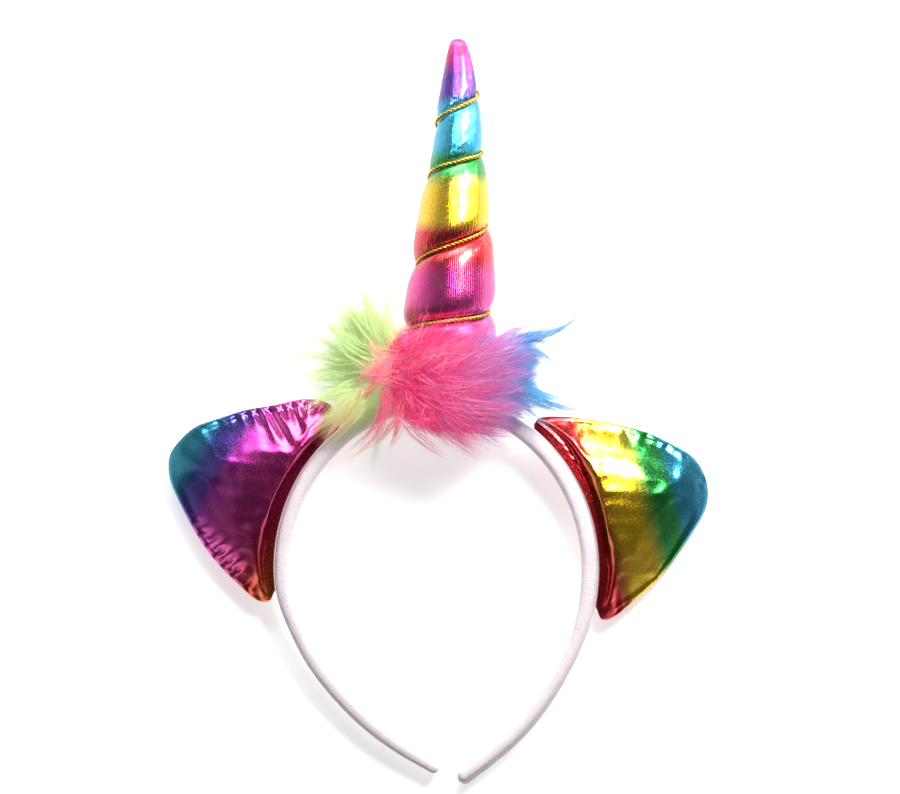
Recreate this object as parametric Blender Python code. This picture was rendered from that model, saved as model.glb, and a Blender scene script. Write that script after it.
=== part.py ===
"""Costume headband with a padded unicorn horn, two padded ears and a collar of long fur.

Every piece is drawn as its wearer shows it: x to the right, y up along the horn, z to the front.
The whole headband is then laid on its back, as it rests by itself: the arm ends, the foot of the
horn and both ears touch the table, and +Z points up, away from it.  Lengths are in metres.
"""

import math

import bmesh
import bpy
import numpy as np
from mathutils import Matrix, Vector

# Clearance between pieces that are glued or sewn together
SEAT_GAP = 0.0003

# Headband: a sprung arch, padded and covered in velvet
HEAD_WIDTH = 0.119
CROWN_RISE = 0.065
LEFT_ARM_DROP = 0.0805
RIGHT_ARM_DROP = 0.0840
BAND_THICKNESS = 0.0062
BAND_DEPTH = 0.0100
BAND_STATIONS = 27
BAND_CORNERS = 12
BAND_SQUARENESS = 2.8
# The band's direction is read over this far each way
TANGENT_REACH = 0.002
# Below the widest line: share of the arm's drop, share of the half width at the band's middle
LEFT_ARM_SHAPE = [
    (0.13, 0.984), (0.27, 0.920), (0.45, 0.803), (0.62, 0.636), (0.80, 0.400), (1.00, 0.015),
]
RIGHT_ARM_SHAPE = [
    (0.13, 0.988), (0.27, 0.948), (0.45, 0.850), (0.62, 0.714), (0.80, 0.514), (1.00, 0.185),
]
# Share of the way from the crown to the arm's end, shares of the thickness and the depth, roll in degrees
LEFT_ARM_SECTIONS = [
    (0.00, 1.00, 1.00, 0), (0.30, 1.04, 1.00, 0), (0.55, 0.94, 0.96, 4), (0.80, 0.94, 0.88, 4),
    (0.93, 0.84, 0.80, 2), (1.00, 0.68, 0.72, 0),
]
RIGHT_ARM_SECTIONS = [
    (0.00, 1.00, 1.00, 0), (0.30, 1.12, 1.00, 2), (0.55, 1.06, 0.98, 6), (0.70, 0.88, 0.94, 6),
    (0.85, 0.92, 0.90, 12), (1.00, 0.92, 0.84, 18),
]

# Horn: a stuffed cone that a gold cord winds into a spiral
HORN_HEIGHT = 0.1448
HORN_RADIUS = 0.0196
HORN_FOOT_OFFSET = 0.0045
HORN_LEAN = 0.0045
HORN_COLUMNS = 28
# Rows of the horn's faces between one turn of the cord and the next, as shares of the way
HORN_ROWS_PER_TURN = [0.0, 0.06, 0.13, 0.25, 0.50, 0.75, 0.87, 0.94]
# Share of the height, share of the foot's radius, share of the lean
HORN_SECTIONS = [
    (0.00, 0.96, 0.00), (0.10, 1.00, 0.10), (0.22, 0.985, 0.25), (0.32, 0.905, 0.45),
    (0.45, 0.81, 0.62), (0.58, 0.675, 0.80), (0.685, 0.535, 1.00), (0.80, 0.462, 1.05),
    (0.89, 0.350, 1.08), (0.95, 0.262, 1.05), (0.985, 0.160, 1.00), (1.00, 0.00, 0.96),
]
# Share of the height, depth of the cord's groove as a share of the radius there
GROOVE_DEPTHS = [
    (0.00, 0.16), (0.20, 0.22), (0.48, 0.20), (0.67, 0.17), (0.84, 0.14), (1.00, 0.10),
]
GROOVE_WIDTH = 0.0034
CORD_DIAMETER = 0.0012
CORD_SIDES = 6
CORD_STEPS_PER_TURN = 18
CORD_START_TURN = -0.60
CORD_END_TURN = 3.55
# Turns counted from the lowest crossing at the front, share of the horn's height
SPIRAL_CLIMB = [
    (-3.25, -0.28), (-1.75, -0.06), (-0.75, 0.085), (-0.25, 0.180), (0.25, 0.235), (0.75, 0.362),
    (1.25, 0.475), (1.75, 0.612), (2.25, 0.678), (2.75, 0.760), (3.25, 0.842), (3.75, 0.920),
    (4.75, 1.060), (6.25, 1.270),
]

# Ears: stuffed pads on the outer face of the band
EAR_THICKNESS = 0.0215
LEFT_EAR_REACH = 0.0607
RIGHT_EAR_REACH = 0.0600
EAR_STEPS_ALONG = 44
# Where an ear starts and ends on the band: shares of the way from the crown to the arm's end
LEFT_EAR_SPAN = (0.192, 0.532)
RIGHT_EAR_SPAN = (0.196, 0.572)
# Round the free edge from the upper corner: share of the line between the ear's ends, share of its reach
LEFT_EAR_EDGE = [
    (-0.020, 0.010), (-0.095, 0.095), (-0.103, 0.215), (0.012, 0.460), (0.103, 0.635),
    (0.211, 0.793), (0.300, 0.910), (0.408, 0.976), (0.495, 1.000), (0.574, 0.978), (0.653, 0.920),
    (0.728, 0.830), (0.812, 0.717), (0.917, 0.553), (1.009, 0.353), (1.064, 0.189), (1.088, 0.070),
    (1.064, 0.012), (1.013, 0.010),
]
RIGHT_EAR_EDGE = [
    (-0.015, 0.008), (-0.038, 0.048), (-0.029, 0.142), (0.018, 0.294), (0.084, 0.458),
    (0.152, 0.600), (0.228, 0.738), (0.323, 0.860), (0.425, 0.966), (0.523, 1.000), (0.610, 0.991),
    (0.701, 0.936), (0.778, 0.830), (0.870, 0.673), (0.975, 0.461), (1.058, 0.194), (1.084, 0.077),
    (1.075, 0.014), (1.021, 0.010),
]
# How blunt an ear's two corners are: 1 tapers evenly to them, 0 keeps the full thickness up to them
EAR_CORNER_TAPER = 0.42
# Where an ear is thickest: share of the way from the band to the free edge
EAR_BELLY = 0.42
# Share of the way from the band to the free edge, share of the full thickness
EAR_PROFILE = [
    (0.0, 0.38), (0.035, 0.45), (0.075, 0.62), (0.16, 0.82), (0.28, 0.96), (0.42, 1.00),
    (0.58, 0.93), (0.74, 0.76), (0.87, 0.52), (0.95, 0.29), (1.0, 0.0),
]
# Folds that run in from the sewn edge: share of the way round it, depth share, how far in they reach
LEFT_EAR_FOLDS = [
    (0.13, 0.30, 0.55), (0.20, 0.34, 0.60), (0.27, 0.28, 0.42), (0.66, 0.22, 0.25),
    (0.72, 0.30, 0.30), (0.78, 0.30, 0.30), (0.84, 0.26, 0.28),
]
RIGHT_EAR_FOLDS = [(0.20, 0.16, 0.25), (0.30, 0.34, 0.40), (0.47, 0.20, 0.22), (0.88, 0.18, 0.25)]
FOLD_WIDTH_SHARE = 0.018

# Fur: a collar of long pile round the front of the horn's foot, combed out to both sides
COLLAR_HEIGHT = 0.0230
COLLAR_THICKNESS = 0.0105
FUR_COLUMNS = 14
FUR_ROWS = 4
# Degrees round from the front, lower and upper edge as shares of the height, share of thickness
FUR_COLLAR = [
    (-106, 0.10, 0.70, 0.62), (-84, 0.06, 0.95, 1.00), (-50, -0.33, 1.05, 1.05),
    (0, -0.50, 0.72, 1.00), (50, -0.33, 0.90, 1.05), (84, 0.06, 0.82, 1.00),
    (106, 0.10, 0.64, 0.62),
]
LOCK_LENGTH = 0.0250
# Share of a lock's length, share of its root's width
LOCK_STEPS = [(0.18, 1.08), (0.38, 1.06), (0.60, 0.86), (0.82, 0.52), (1.00, 0.14)]
# How a lock lies, as shares of its length: how far it stands out, and how far it then falls each way
LOCK_STANDS_OUT = 0.80
LOCK_FALLS_SIDEWAYS = 0.74
LOCK_FALLS_UP = 0.80
LOCK_FALLS_DOWN = 0.75
LOCK_FALLS_BACK = 0.12
LEFT_LOCKS_LIFT = 0.40
LOCK_LENGTH_VARIES = 0.16

# Where the horn's back touches the table, as a share of its height, and how far the stuffing gives there
HORN_REST_SHARE = 0.14
HORN_PRESS = 0.0009
EAR_PRESS = 0.0007


def material(name, colour, roughness, metallic=0.0):
    """A plain surface finish."""
    finish = bpy.data.materials.new(name)
    finish.use_nodes = True
    shader = finish.node_tree.nodes["Principled BSDF"]
    shader.inputs["Base Color"].default_value = (*colour, 1.0)
    shader.inputs["Roughness"].default_value = roughness
    shader.inputs["Metallic"].default_value = metallic
    return finish


def spline(knots, rows, at):
    """A natural cubic spline through rows of values at rising knots, read at the given places."""
    knots = np.asarray(knots, float)
    rows = np.asarray(rows, float).reshape(len(knots), -1)
    step = np.diff(knots)
    slope = np.diff(rows, axis=0) / step[:, None]
    system = np.eye(len(knots))
    right = np.zeros_like(rows)
    for i in range(1, len(knots) - 1):
        system[i, i - 1:i + 2] = step[i - 1], 2 * (step[i - 1] + step[i]), step[i]
        right[i] = 6 * (slope[i] - slope[i - 1])
    bend = np.linalg.solve(system, right)
    at = np.asarray(at, float)
    i = np.clip(np.searchsorted(knots, at) - 1, 0, len(step) - 1)
    h = step[i][:, None]
    a = ((knots[i + 1] - at) / step[i])[:, None]
    b = 1 - a
    return (a * rows[i] + b * rows[i + 1]
            + ((a ** 3 - a) * bend[i] + (b ** 3 - b) * bend[i + 1]) * h ** 2 / 6)


def lengths_along(points):
    """The distance from the first point to each point of a line."""
    return np.concatenate([[0.0], np.cumsum(np.linalg.norm(np.diff(points, axis=0), axis=1))])


def column(table, which, at):
    """One column of a table read at any place along its first column."""
    table = np.asarray(table, float)
    return np.interp(at, table[:, 0], table[:, which])


def finished(name, bm, finish):
    """A closed mesh as a named, smoothly shaded object that waits to be laid down."""
    bmesh.ops.recalc_face_normals(bm, faces=bm.faces)
    mesh = bpy.data.meshes.new(name)
    bm.to_mesh(mesh)
    bm.free()
    mesh.materials.append(finish)
    mesh.shade_smooth()
    piece = bpy.data.objects.new(name, mesh)
    bpy.context.collection.objects.link(piece)
    return piece


def skinned(rings):
    """A closed tube through rings of points, with a face on each end."""
    bm = bmesh.new()
    loops = [[bm.verts.new(point) for point in ring] for ring in rings]
    count = len(loops[0])
    for low, high in zip(loops, loops[1:]):
        for i in range(count):
            j = (i + 1) % count
            bm.faces.new((low[i], low[j], high[j], high[i]))
    bm.faces.new(loops[0])
    bm.faces.new(loops[-1])
    return bm


# Headband


def band_middle():
    """Points down the middle of the band, from the left arm's end over the crown to the right arm's end."""
    half_width = (HEAD_WIDTH + BAND_THICKNESS) / 2
    rise = CROWN_RISE + BAND_THICKNESS / 2
    left = [(-half_width * out, -LEFT_ARM_DROP * down) for down, out in reversed(LEFT_ARM_SHAPE)]
    right = [(half_width * out, -RIGHT_ARM_DROP * down) for down, out in RIGHT_ARM_SHAPE]
    arch = [(-half_width * math.cos(a), rise * math.sin(a)) for a in np.linspace(0, math.pi, 13)]
    corners = np.array(left + arch + right)
    along = lengths_along(corners)
    line = spline(along, corners, np.linspace(0, along[-1], 1200))
    return line, lengths_along(line)


BAND_LINE, BAND_ALONG = band_middle()
CROWN_ALONG = BAND_ALONG[np.argmax(BAND_LINE[:, 1])]


def band_frame(share):
    """Middle, outward direction, thickness, depth and roll of the band: -1 left end, 0 crown, 1 right."""
    side = CROWN_ALONG if share < 0 else BAND_ALONG[-1] - CROWN_ALONG
    sections = LEFT_ARM_SECTIONS if share < 0 else RIGHT_ARM_SECTIONS
    at = CROWN_ALONG + share * side
    middle = Vector([np.interp(at, BAND_ALONG, BAND_LINE[:, k]) for k in (0, 1)] + [0.0])
    ahead, behind = (
        [np.interp(at + step, BAND_ALONG, BAND_LINE[:, k]) for k in (0, 1)]
        for step in (TANGENT_REACH, -TANGENT_REACH)
    )
    tangent = Vector((ahead[0] - behind[0], ahead[1] - behind[1], 0.0)).normalized()
    outward = Vector((-tangent.y, tangent.x, 0.0))
    thickness, depth, roll = (float(column(sections, k, abs(share))) for k in (1, 2, 3))
    return middle, tangent, outward, BAND_THICKNESS * thickness, BAND_DEPTH * depth, math.radians(roll)


def band_ring(share, grow=1.0, ahead=0.0):
    """One section of the band, flat on its inner face, moved on past its place where an end is rounded."""
    middle, tangent, outward, thickness, depth, roll = band_frame(share)
    front = Vector((0.0, 0.0, 1.0))
    turn = -roll if share < 0 else roll
    across = outward * math.cos(turn) + front * math.sin(turn)
    forward = front * math.cos(turn) - outward * math.sin(turn)
    centre = middle + tangent * ahead
    ring = []
    for k in range(BAND_CORNERS):
        angle = 2 * math.pi * (k + 0.5) / BAND_CORNERS
        c, s = math.cos(angle), math.sin(angle)
        out = math.copysign(abs(c) ** (2 / BAND_SQUARENESS), c) * thickness / 2 * grow
        fore = math.copysign(abs(s) ** (2 / BAND_SQUARENESS), s) * depth / 2 * grow
        ring.append(centre + across * out + forward * fore)
    return ring


def make_band(finish):
    """The velvet-covered band with rounded ends."""
    shares = [(k + 0.5) / (BAND_STATIONS + 0.5) for k in range(BAND_STATIONS + 1)]
    stations = [-s for s in reversed(shares)] + shares
    rings = [band_ring(share) for share in stations]
    for side in (-1, 1):
        radius = band_frame(side)[3] / 2
        for degrees in (35, 65, 85):
            angle = math.radians(degrees)
            ring = band_ring(side, math.cos(angle), side * radius * math.sin(angle))
            rings = [ring] + rings if side < 0 else rings + [ring]
    return finished("headband", skinned(rings), finish)


def arch_top(x):
    """Height of the band's outer face over a place beside its middle."""
    half_width = HEAD_WIDTH / 2 + BAND_THICKNESS
    rise = CROWN_RISE + BAND_THICKNESS
    return rise * math.sqrt(max(0.0, 1 - (x / half_width) ** 2))


# Horn and its gold cord

HORN_FOOT_Y = CROWN_RISE + BAND_THICKNESS + SEAT_GAP


def climb(turns):
    """Height of the cord above the horn's foot after this many turns: its line goes on past foot and tip."""
    table = np.array(SPIRAL_CLIMB)
    return spline(table[:, 0], table[:, 1], np.atleast_1d(turns))[:, 0] * HORN_HEIGHT


def horn_outline(height):
    """Radius of the stuffed horn between the cord's turns, and the sideways place of its middle."""
    share = np.atleast_1d(height) / HORN_HEIGHT
    table = np.array(HORN_SECTIONS)
    lean = spline(table[:, 0], table[:, 2], share)[:, 0]
    return (np.interp(share, table[:, 0], table[:, 1]) * HORN_RADIUS,
            HORN_FOOT_OFFSET + lean * HORN_LEAN)


def groove(turns, height):
    """How far the cord pulls the horn in, at a place this many turns round and this high."""
    whole = np.floor(turns)
    depth = np.zeros_like(height)
    radius = horn_outline(height)[0]
    for k in range(-2, 6):
        turn = turns - whole + k
        wound = np.clip((CORD_END_TURN - turn) / 0.25, 0, 1)
        wound = wound * np.clip((turn - CORD_START_TURN + 0.5) / 0.25, 0, 1)
        near = np.exp(-((height - climb(turn)) / GROOVE_WIDTH) ** 2)
        depth = np.maximum(depth, near * wound)
    return depth * column(GROOVE_DEPTHS, 1, height / HORN_HEIGHT) * radius


def horn_point(turns, height, stand_off=0.0):
    """A point on the horn's skin, or this far out from it."""
    turns, height = np.atleast_1d(turns).astype(float), np.atleast_1d(height).astype(float)
    radius, middle = horn_outline(height)
    radius = np.maximum(radius - groove(turns, height), 0.0) + stand_off
    angle = 2 * math.pi * turns
    x = middle + radius * np.sin(angle)
    foot = np.array([arch_top(value) + SEAT_GAP for value in x])
    lift = np.clip(1 - height / (0.25 * HORN_HEIGHT), 0, 1)
    y = HORN_FOOT_Y + height + (foot - HORN_FOOT_Y) * lift
    return np.stack([x, y, radius * np.cos(angle)], axis=1)


def make_horn(finish):
    """The stuffed horn.  Its rows of faces follow the cord, so that the cord's groove is a clean line."""
    per_turn = len(HORN_ROWS_PER_TURN)
    whole_turns = range(-3, 5)
    parts = np.array(HORN_ROWS_PER_TURN)
    bm = bmesh.new()
    grid = []
    for c in range(HORN_COLUMNS):
        around = c / HORN_COLUMNS
        heights = np.concatenate([
            climb(around + k) * (1 - parts) + climb(around + k + 1) * parts for k in whole_turns
        ])
        heights = np.clip(heights, 0.0, HORN_HEIGHT)
        points = horn_point(np.full(len(heights), around), heights)
        grid.append([bm.verts.new(point) for point in points])
    for c in range(HORN_COLUMNS):
        wraps = c + 1 == HORN_COLUMNS
        after = grid[(c + 1) % HORN_COLUMNS]
        skip = per_turn if wraps else 0
        for r in range(len(grid[c]) - 1 - skip):
            bm.faces.new((grid[c][r], after[r + skip], after[r + 1 + skip], grid[c][r + 1]))
    bmesh.ops.remove_doubles(bm, verts=bm.verts, dist=1e-5)
    rim = [edge for edge in bm.edges if edge.is_boundary]
    centre = Vector((HORN_FOOT_OFFSET, 0.0, 0.0))
    for share in (0.62, 0.28):
        made = bmesh.ops.extrude_edge_only(bm, edges=rim)["geom"]
        for vert in [item for item in made if isinstance(item, bmesh.types.BMVert)]:
            radius = math.hypot(vert.co.x - centre.x, vert.co.z)
            wanted = HORN_RADIUS * HORN_SECTIONS[0][1] * share
            vert.co.x = centre.x + (vert.co.x - centre.x) * wanted / radius
            vert.co.z = vert.co.z * wanted / radius
            vert.co.y = arch_top(vert.co.x) + SEAT_GAP
        rim = [item for item in made if isinstance(item, bmesh.types.BMEdge)]
    bmesh.ops.holes_fill(bm, edges=rim)
    return finished("horn", bm, finish)


def make_cord(finish):
    """The gold cord, laid in the groove that it pulls."""
    steps = round((CORD_END_TURN - CORD_START_TURN) * CORD_STEPS_PER_TURN)
    turns = np.linspace(CORD_START_TURN, CORD_END_TURN, steps + 1)
    radius = CORD_DIAMETER / 2
    stand_off = radius / math.cos(math.pi / CORD_SIDES) + SEAT_GAP + CORD_DIAMETER / 4
    middle = horn_point(turns, climb(turns), stand_off)
    rings = []
    for i, centre in enumerate(middle):
        ahead = middle[min(i + 1, steps)] - middle[max(i - 1, 0)]
        tangent = Vector(ahead).normalized()
        axis = Vector((float(horn_outline(climb(turns[i]))[1][0]), centre[1], 0.0))
        outward = (Vector(centre) - axis)
        outward = (outward - tangent * outward.dot(tangent)).normalized()
        side = tangent.cross(outward)
        turn = [2 * math.pi * k / CORD_SIDES for k in range(CORD_SIDES)]
        rings.append([Vector(centre) + (outward * math.cos(a) + side * math.sin(a)) * radius for a in turn])
    return finished("gold_cord", skinned(rings), finish)


# Laying down: the table's height under each place of the headband as it is drawn here

ARM_END_DEPTH = BAND_DEPTH * RIGHT_ARM_SECTIONS[-1][2]
HORN_REST_Y = HORN_FOOT_Y + HORN_REST_SHARE * HORN_HEIGHT
REST_TILT = math.atan2(HORN_RADIUS - HORN_PRESS - ARM_END_DEPTH / 2, HORN_REST_Y + RIGHT_ARM_DROP)
LAID = Matrix.Rotation(REST_TILT, 4, "X")
ARM_REST_LIFT = ARM_END_DEPTH / 2 * math.cos(REST_TILT) + RIGHT_ARM_DROP * math.sin(REST_TILT)


def table_below(y):
    """How far the table lies behind the arch's own plane, at this height up the headband."""
    return (ARM_REST_LIFT + y * math.sin(REST_TILT)) / math.cos(REST_TILT)


# Ears


def ear_edge(side):
    """The free edge of an ear, evenly spaced, and the line where it sits on the band."""
    span, reach, edge = (
        (LEFT_EAR_SPAN, LEFT_EAR_REACH, LEFT_EAR_EDGE) if side < 0
        else (RIGHT_EAR_SPAN, RIGHT_EAR_REACH, RIGHT_EAR_EDGE)
    )
    seat = []
    for share in np.linspace(*span, EAR_STEPS_ALONG + 1):
        middle, _, outward, thickness, _, _ = band_frame(side * share)
        seat.append(middle + outward * (thickness / 2 + SEAT_GAP))
    top, chord = seat[0], seat[-1] - seat[0]
    outward = Vector((side * -chord.y, side * chord.x, 0.0)).normalized()
    corners = np.array([top + chord * down + outward * reach * out for down, out in edge])
    along = lengths_along(corners)
    free = spline(along, corners, np.linspace(0, along[-1], EAR_STEPS_ALONG + 1))
    return seat, [Vector(point) for point in free]


def ear_folds(side, share, out):
    """How much the sewn-in folds thin the pad at a place round its edge and this far out from the band."""
    thinner = 0.0
    for place, depth, reach in LEFT_EAR_FOLDS if side < 0 else RIGHT_EAR_FOLDS:
        across = math.exp(-((share - place) / FOLD_WIDTH_SHARE) ** 2)
        inward = max(0.0, 1 - (1 - out) / reach)
        thinner += depth * across * inward
    return 1 - min(thinner, 0.6)


def make_ear(name, side, finish):
    """A stuffed ear: two panels sewn together round the free edge, and a flap glued along the band."""
    seat, edge = ear_edge(side)
    steps = EAR_STEPS_ALONG
    outs = [row[0] for row in EAR_PROFILE]
    belly = (edge[steps // 2] - seat[steps // 2]).length * EAR_BELLY
    middle_y = (seat[0].y + seat[-1].y) / 2
    droop = (table_below(middle_y) - EAR_THICKNESS / 2 + EAR_PRESS) / belly
    bm = bmesh.new()
    panels = {}
    for face in (1, -1):
        for i in range(steps + 1):
            share = i / steps
            full = math.sin(math.pi * share) ** EAR_CORNER_TAPER
            for j, out in enumerate(outs):
                sewn = i in (0, steps) or j == len(outs) - 1
                if sewn and face < 0:
                    panels[face, i, j] = panels[1, i, j]
                    continue
                point = seat[i].lerp(edge[i], out)
                half = EAR_THICKNESS / 2 * EAR_PROFILE[j][1] * full * ear_folds(side, share, out)
                distance = (point - seat[i]).length
                point.z = (0.0 if sewn else face * half) - droop * distance
                panels[face, i, j] = bm.verts.new(point)
    for face in (1, -1):
        for i in range(steps):
            for j in range(len(outs) - 1):
                ring = ((i, j), (i + 1, j), (i + 1, j + 1), (i, j + 1))
                corners = [panels[(face, *place)] for place in ring]
                whole = list(dict.fromkeys(corners))
                bm.faces.new(whole if face > 0 else whole[::-1])
    for i in range(steps):
        corners = [panels[1, i, 0], panels[-1, i, 0], panels[-1, i + 1, 0], panels[1, i + 1, 0]]
        bm.faces.new(list(dict.fromkeys(corners)))
    return finished(name, bm, finish)


# Fur


def collar_size(degrees):
    """The collar's lower edge, upper edge and thickness at a place round the horn."""
    lower, upper, thick = (float(column(FUR_COLLAR, k, degrees)) for k in (1, 2, 3))
    return HORN_FOOT_Y + lower * COLLAR_HEIGHT, HORN_FOOT_Y + upper * COLLAR_HEIGHT, thick * COLLAR_THICKNESS


def fur_section(degrees):
    """One section of the collar: its back follows the horn, its front bulges."""
    lower, upper, thick = collar_size(degrees)
    inner = (HORN_RADIUS + SEAT_GAP) / math.cos(math.radians(FUR_COLLAR[-1][0] / FUR_COLUMNS))
    angle = math.radians(degrees)
    profile = [(inner, lower), (inner, upper)]
    for k in range(FUR_ROWS + 1):
        turn = math.pi * (0.5 - (k + 0.4) / (FUR_ROWS + 0.8))
        profile.append((inner + thick * (0.35 + 0.65 * math.cos(turn)),
                        (upper + lower) / 2 + (upper - lower) / 2 * math.sin(turn)))
    section = []
    for r, y in profile:
        middle = float(horn_outline(max(y - HORN_FOOT_Y, 0.0))[1][0])
        section.append(Vector((middle + r * math.sin(angle), y, r * math.cos(angle))))
    return section


def lock_way(angle, height, along):
    """Where a lock has got to, from its root: it stands out, then lies over to its own side."""
    side, front = math.sin(angle), math.cos(angle)
    out = Vector((side, height / 2, front)) * LOCK_STANDS_OUT
    if height > 0:
        fall = LOCK_FALLS_UP * height
    else:
        fall = LOCK_FALLS_DOWN * height * max(front, 0.0)
    lift = LEFT_LOCKS_LIFT * max(-side, 0.0)
    over = Vector((LOCK_FALLS_SIDEWAYS * side, fall + lift, LOCK_FALLS_BACK * (front - 1)))
    length = LOCK_LENGTH * (1 + LOCK_LENGTH_VARIES * math.sin(5 * angle + 3 * height))
    return (out * (along - along ** 2 / 2) + over * (along + 3 * along ** 2) / 4) * length


def make_fur(finish):
    """The fur collar: every face of its front is drawn out into a tapering lock."""
    reach = FUR_COLLAR[-1][0]
    bm = skinned([fur_section(degrees) for degrees in np.linspace(-reach, reach, FUR_COLUMNS + 1)])
    bmesh.ops.recalc_face_normals(bm, faces=bm.faces)
    carrying = []
    for face in bm.faces:
        root = face.calc_center_median()
        angle = math.atan2(root.x - HORN_FOOT_OFFSET, root.z)
        radius = math.hypot(root.x - HORN_FOOT_OFFSET, root.z)
        lower, upper, thick = collar_size(math.degrees(angle))
        if radius > HORN_RADIUS + SEAT_GAP + 0.40 * thick and len(face.verts) == 4:
            height = (root.y - (lower + upper) / 2) / ((upper - lower) / 2)
            carrying.append((face, root.copy(), angle, height))
    for face, root, angle, height in carrying:
        shape = [vert.co - root for vert in face.verts]
        for along, width in LOCK_STEPS:
            made = bmesh.ops.extrude_discrete_faces(bm, faces=[face])["faces"][0]
            centre = root + lock_way(angle, height, along)
            for vert, offset in zip(made.verts, shape):
                vert.co = centre + offset * width
            face = made
    return finished("fur_collar", bm, finish)


# Assembly


def lay_down(pieces):
    """Lays the headband on its back, presses soft pieces flat on the table, and centres its footprint."""
    lift = Matrix.Translation((0.0, 0.0, ARM_REST_LIFT))
    for piece in pieces:
        piece.data.transform(lift @ LAID)
        for vert in piece.data.vertices:
            vert.co.z = max(vert.co.z, 0.0)
    spots = np.array([vert.co for piece in pieces for vert in piece.data.vertices])
    centre = (spots.min(axis=0) + spots.max(axis=0)) / 2
    for piece in pieces:
        piece.data.transform(Matrix.Translation((-centre[0], -centre[1], 0.0)))


def main():
    for old in list(bpy.data.objects):
        bpy.data.objects.remove(old)
    velvet = material("white_velvet", (0.80, 0.76, 0.78), 0.95)
    horn_foil = material("rainbow_foil_horn", (0.72, 0.10, 0.30), 0.3, 0.9)
    left_foil = material("rainbow_foil_left_ear", (0.35, 0.04, 0.30), 0.25, 0.9)
    right_foil = material("rainbow_foil_right_ear", (0.75, 0.45, 0.05), 0.25, 0.9)
    gold = material("gold_thread", (0.85, 0.55, 0.10), 0.35, 1.0)
    pile = material("pink_fur", (0.90, 0.15, 0.42), 0.8)
    lay_down([
        make_band(velvet),
        make_horn(horn_foil),
        make_cord(gold),
        make_ear("ear_left", -1, left_foil),
        make_ear("ear_right", 1, right_foil),
        make_fur(pile),
    ])


main()
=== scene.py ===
# %% [markdown]
# This scene dresses a costume headband: a padded unicorn horn wound with gold cord, two padded ears
# and a collar of long dyed fur on a velvet-covered band.  The solid model gives every place and size.
# Each step first says what the piece is on the real headband and how it could be made, then makes it.

# %% Load the solid model and keep its box
import math

import bpy
import numpy as np
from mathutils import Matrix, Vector


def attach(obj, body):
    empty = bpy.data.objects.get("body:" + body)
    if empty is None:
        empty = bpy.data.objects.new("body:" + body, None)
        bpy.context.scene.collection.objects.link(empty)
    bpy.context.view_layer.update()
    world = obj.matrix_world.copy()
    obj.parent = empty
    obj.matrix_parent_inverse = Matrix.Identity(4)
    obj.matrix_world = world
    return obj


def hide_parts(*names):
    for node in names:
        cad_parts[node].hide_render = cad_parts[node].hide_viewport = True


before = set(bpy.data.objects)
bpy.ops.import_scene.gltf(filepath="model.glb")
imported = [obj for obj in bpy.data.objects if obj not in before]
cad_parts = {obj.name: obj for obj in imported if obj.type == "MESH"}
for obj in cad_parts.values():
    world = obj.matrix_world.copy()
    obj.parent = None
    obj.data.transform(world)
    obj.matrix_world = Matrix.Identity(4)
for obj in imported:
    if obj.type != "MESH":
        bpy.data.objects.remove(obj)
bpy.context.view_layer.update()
print("solid nodes:", ", ".join(sorted(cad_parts)))

# %% [markdown]
# The headband is easiest to draw as its wearer shows it: x to the right, y up along the horn and z to
# the front.  It then lies on its back on the table, touching with its arm ends, the horn's foot and
# both ears.  These sizes are the solid model's own, in metres, so that each piece lands on its solid.

# %% Sizes of the band
SEAT_GAP = 0.0003
HEAD_WIDTH = 0.119
CROWN_RISE = 0.065
LEFT_ARM_DROP = 0.0805
RIGHT_ARM_DROP = 0.0840
BAND_THICKNESS = 0.0062
BAND_DEPTH = 0.0100
BAND_SQUARENESS = 2.8
# Share of the arm's drop, share of the half width at the band's middle
LEFT_ARM_SHAPE = [(0.13, 0.984), (0.27, 0.920), (0.45, 0.803), (0.62, 0.636), (0.80, 0.400), (1.00, 0.015)]
RIGHT_ARM_SHAPE = [(0.13, 0.988), (0.27, 0.948), (0.45, 0.850), (0.62, 0.714), (0.80, 0.514), (1.00, 0.185)]
# Share of the way from the crown to the arm's end, shares of thickness and depth, roll in degrees
LEFT_ARM_SECTIONS = [
    (0.00, 1.00, 1.00, 0), (0.30, 1.04, 1.00, 0), (0.55, 0.94, 0.96, 4), (0.80, 0.94, 0.88, 4),
    (0.93, 0.84, 0.80, 2), (1.00, 0.68, 0.72, 0),
]
RIGHT_ARM_SECTIONS = [
    (0.00, 1.00, 1.00, 0), (0.30, 1.12, 1.00, 2), (0.55, 1.06, 0.98, 6), (0.70, 0.88, 0.94, 6),
    (0.85, 0.92, 0.90, 12), (1.00, 0.92, 0.84, 18),
]

# %% Sizes of the horn and its cord
HORN_HEIGHT = 0.1448
HORN_RADIUS = 0.0196
HORN_FOOT_OFFSET = 0.0045
HORN_LEAN = 0.0045
HORN_FOOT_Y = CROWN_RISE + BAND_THICKNESS + SEAT_GAP
# Share of the height, share of the foot's radius, share of the lean
HORN_SECTIONS = [
    (0.00, 0.96, 0.00), (0.10, 1.00, 0.10), (0.22, 0.985, 0.25), (0.32, 0.905, 0.45), (0.45, 0.81, 0.62),
    (0.58, 0.675, 0.80), (0.685, 0.535, 1.00), (0.80, 0.462, 1.05), (0.89, 0.350, 1.08),
    (0.95, 0.262, 1.05), (0.978, 0.200, 1.02), (0.991, 0.155, 0.99), (0.997, 0.092, 0.97),
    (1.00, 0.00, 0.96),
]
# Share of the height, depth of the cord's groove as a share of the radius there
GROOVE_DEPTHS = [(0.00, 0.16), (0.20, 0.22), (0.48, 0.20), (0.67, 0.17), (0.84, 0.14), (1.00, 0.10)]
CORD_DIAMETER = 0.0012
CORD_START_TURN = -0.60
CORD_END_TURN = 3.55
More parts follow.
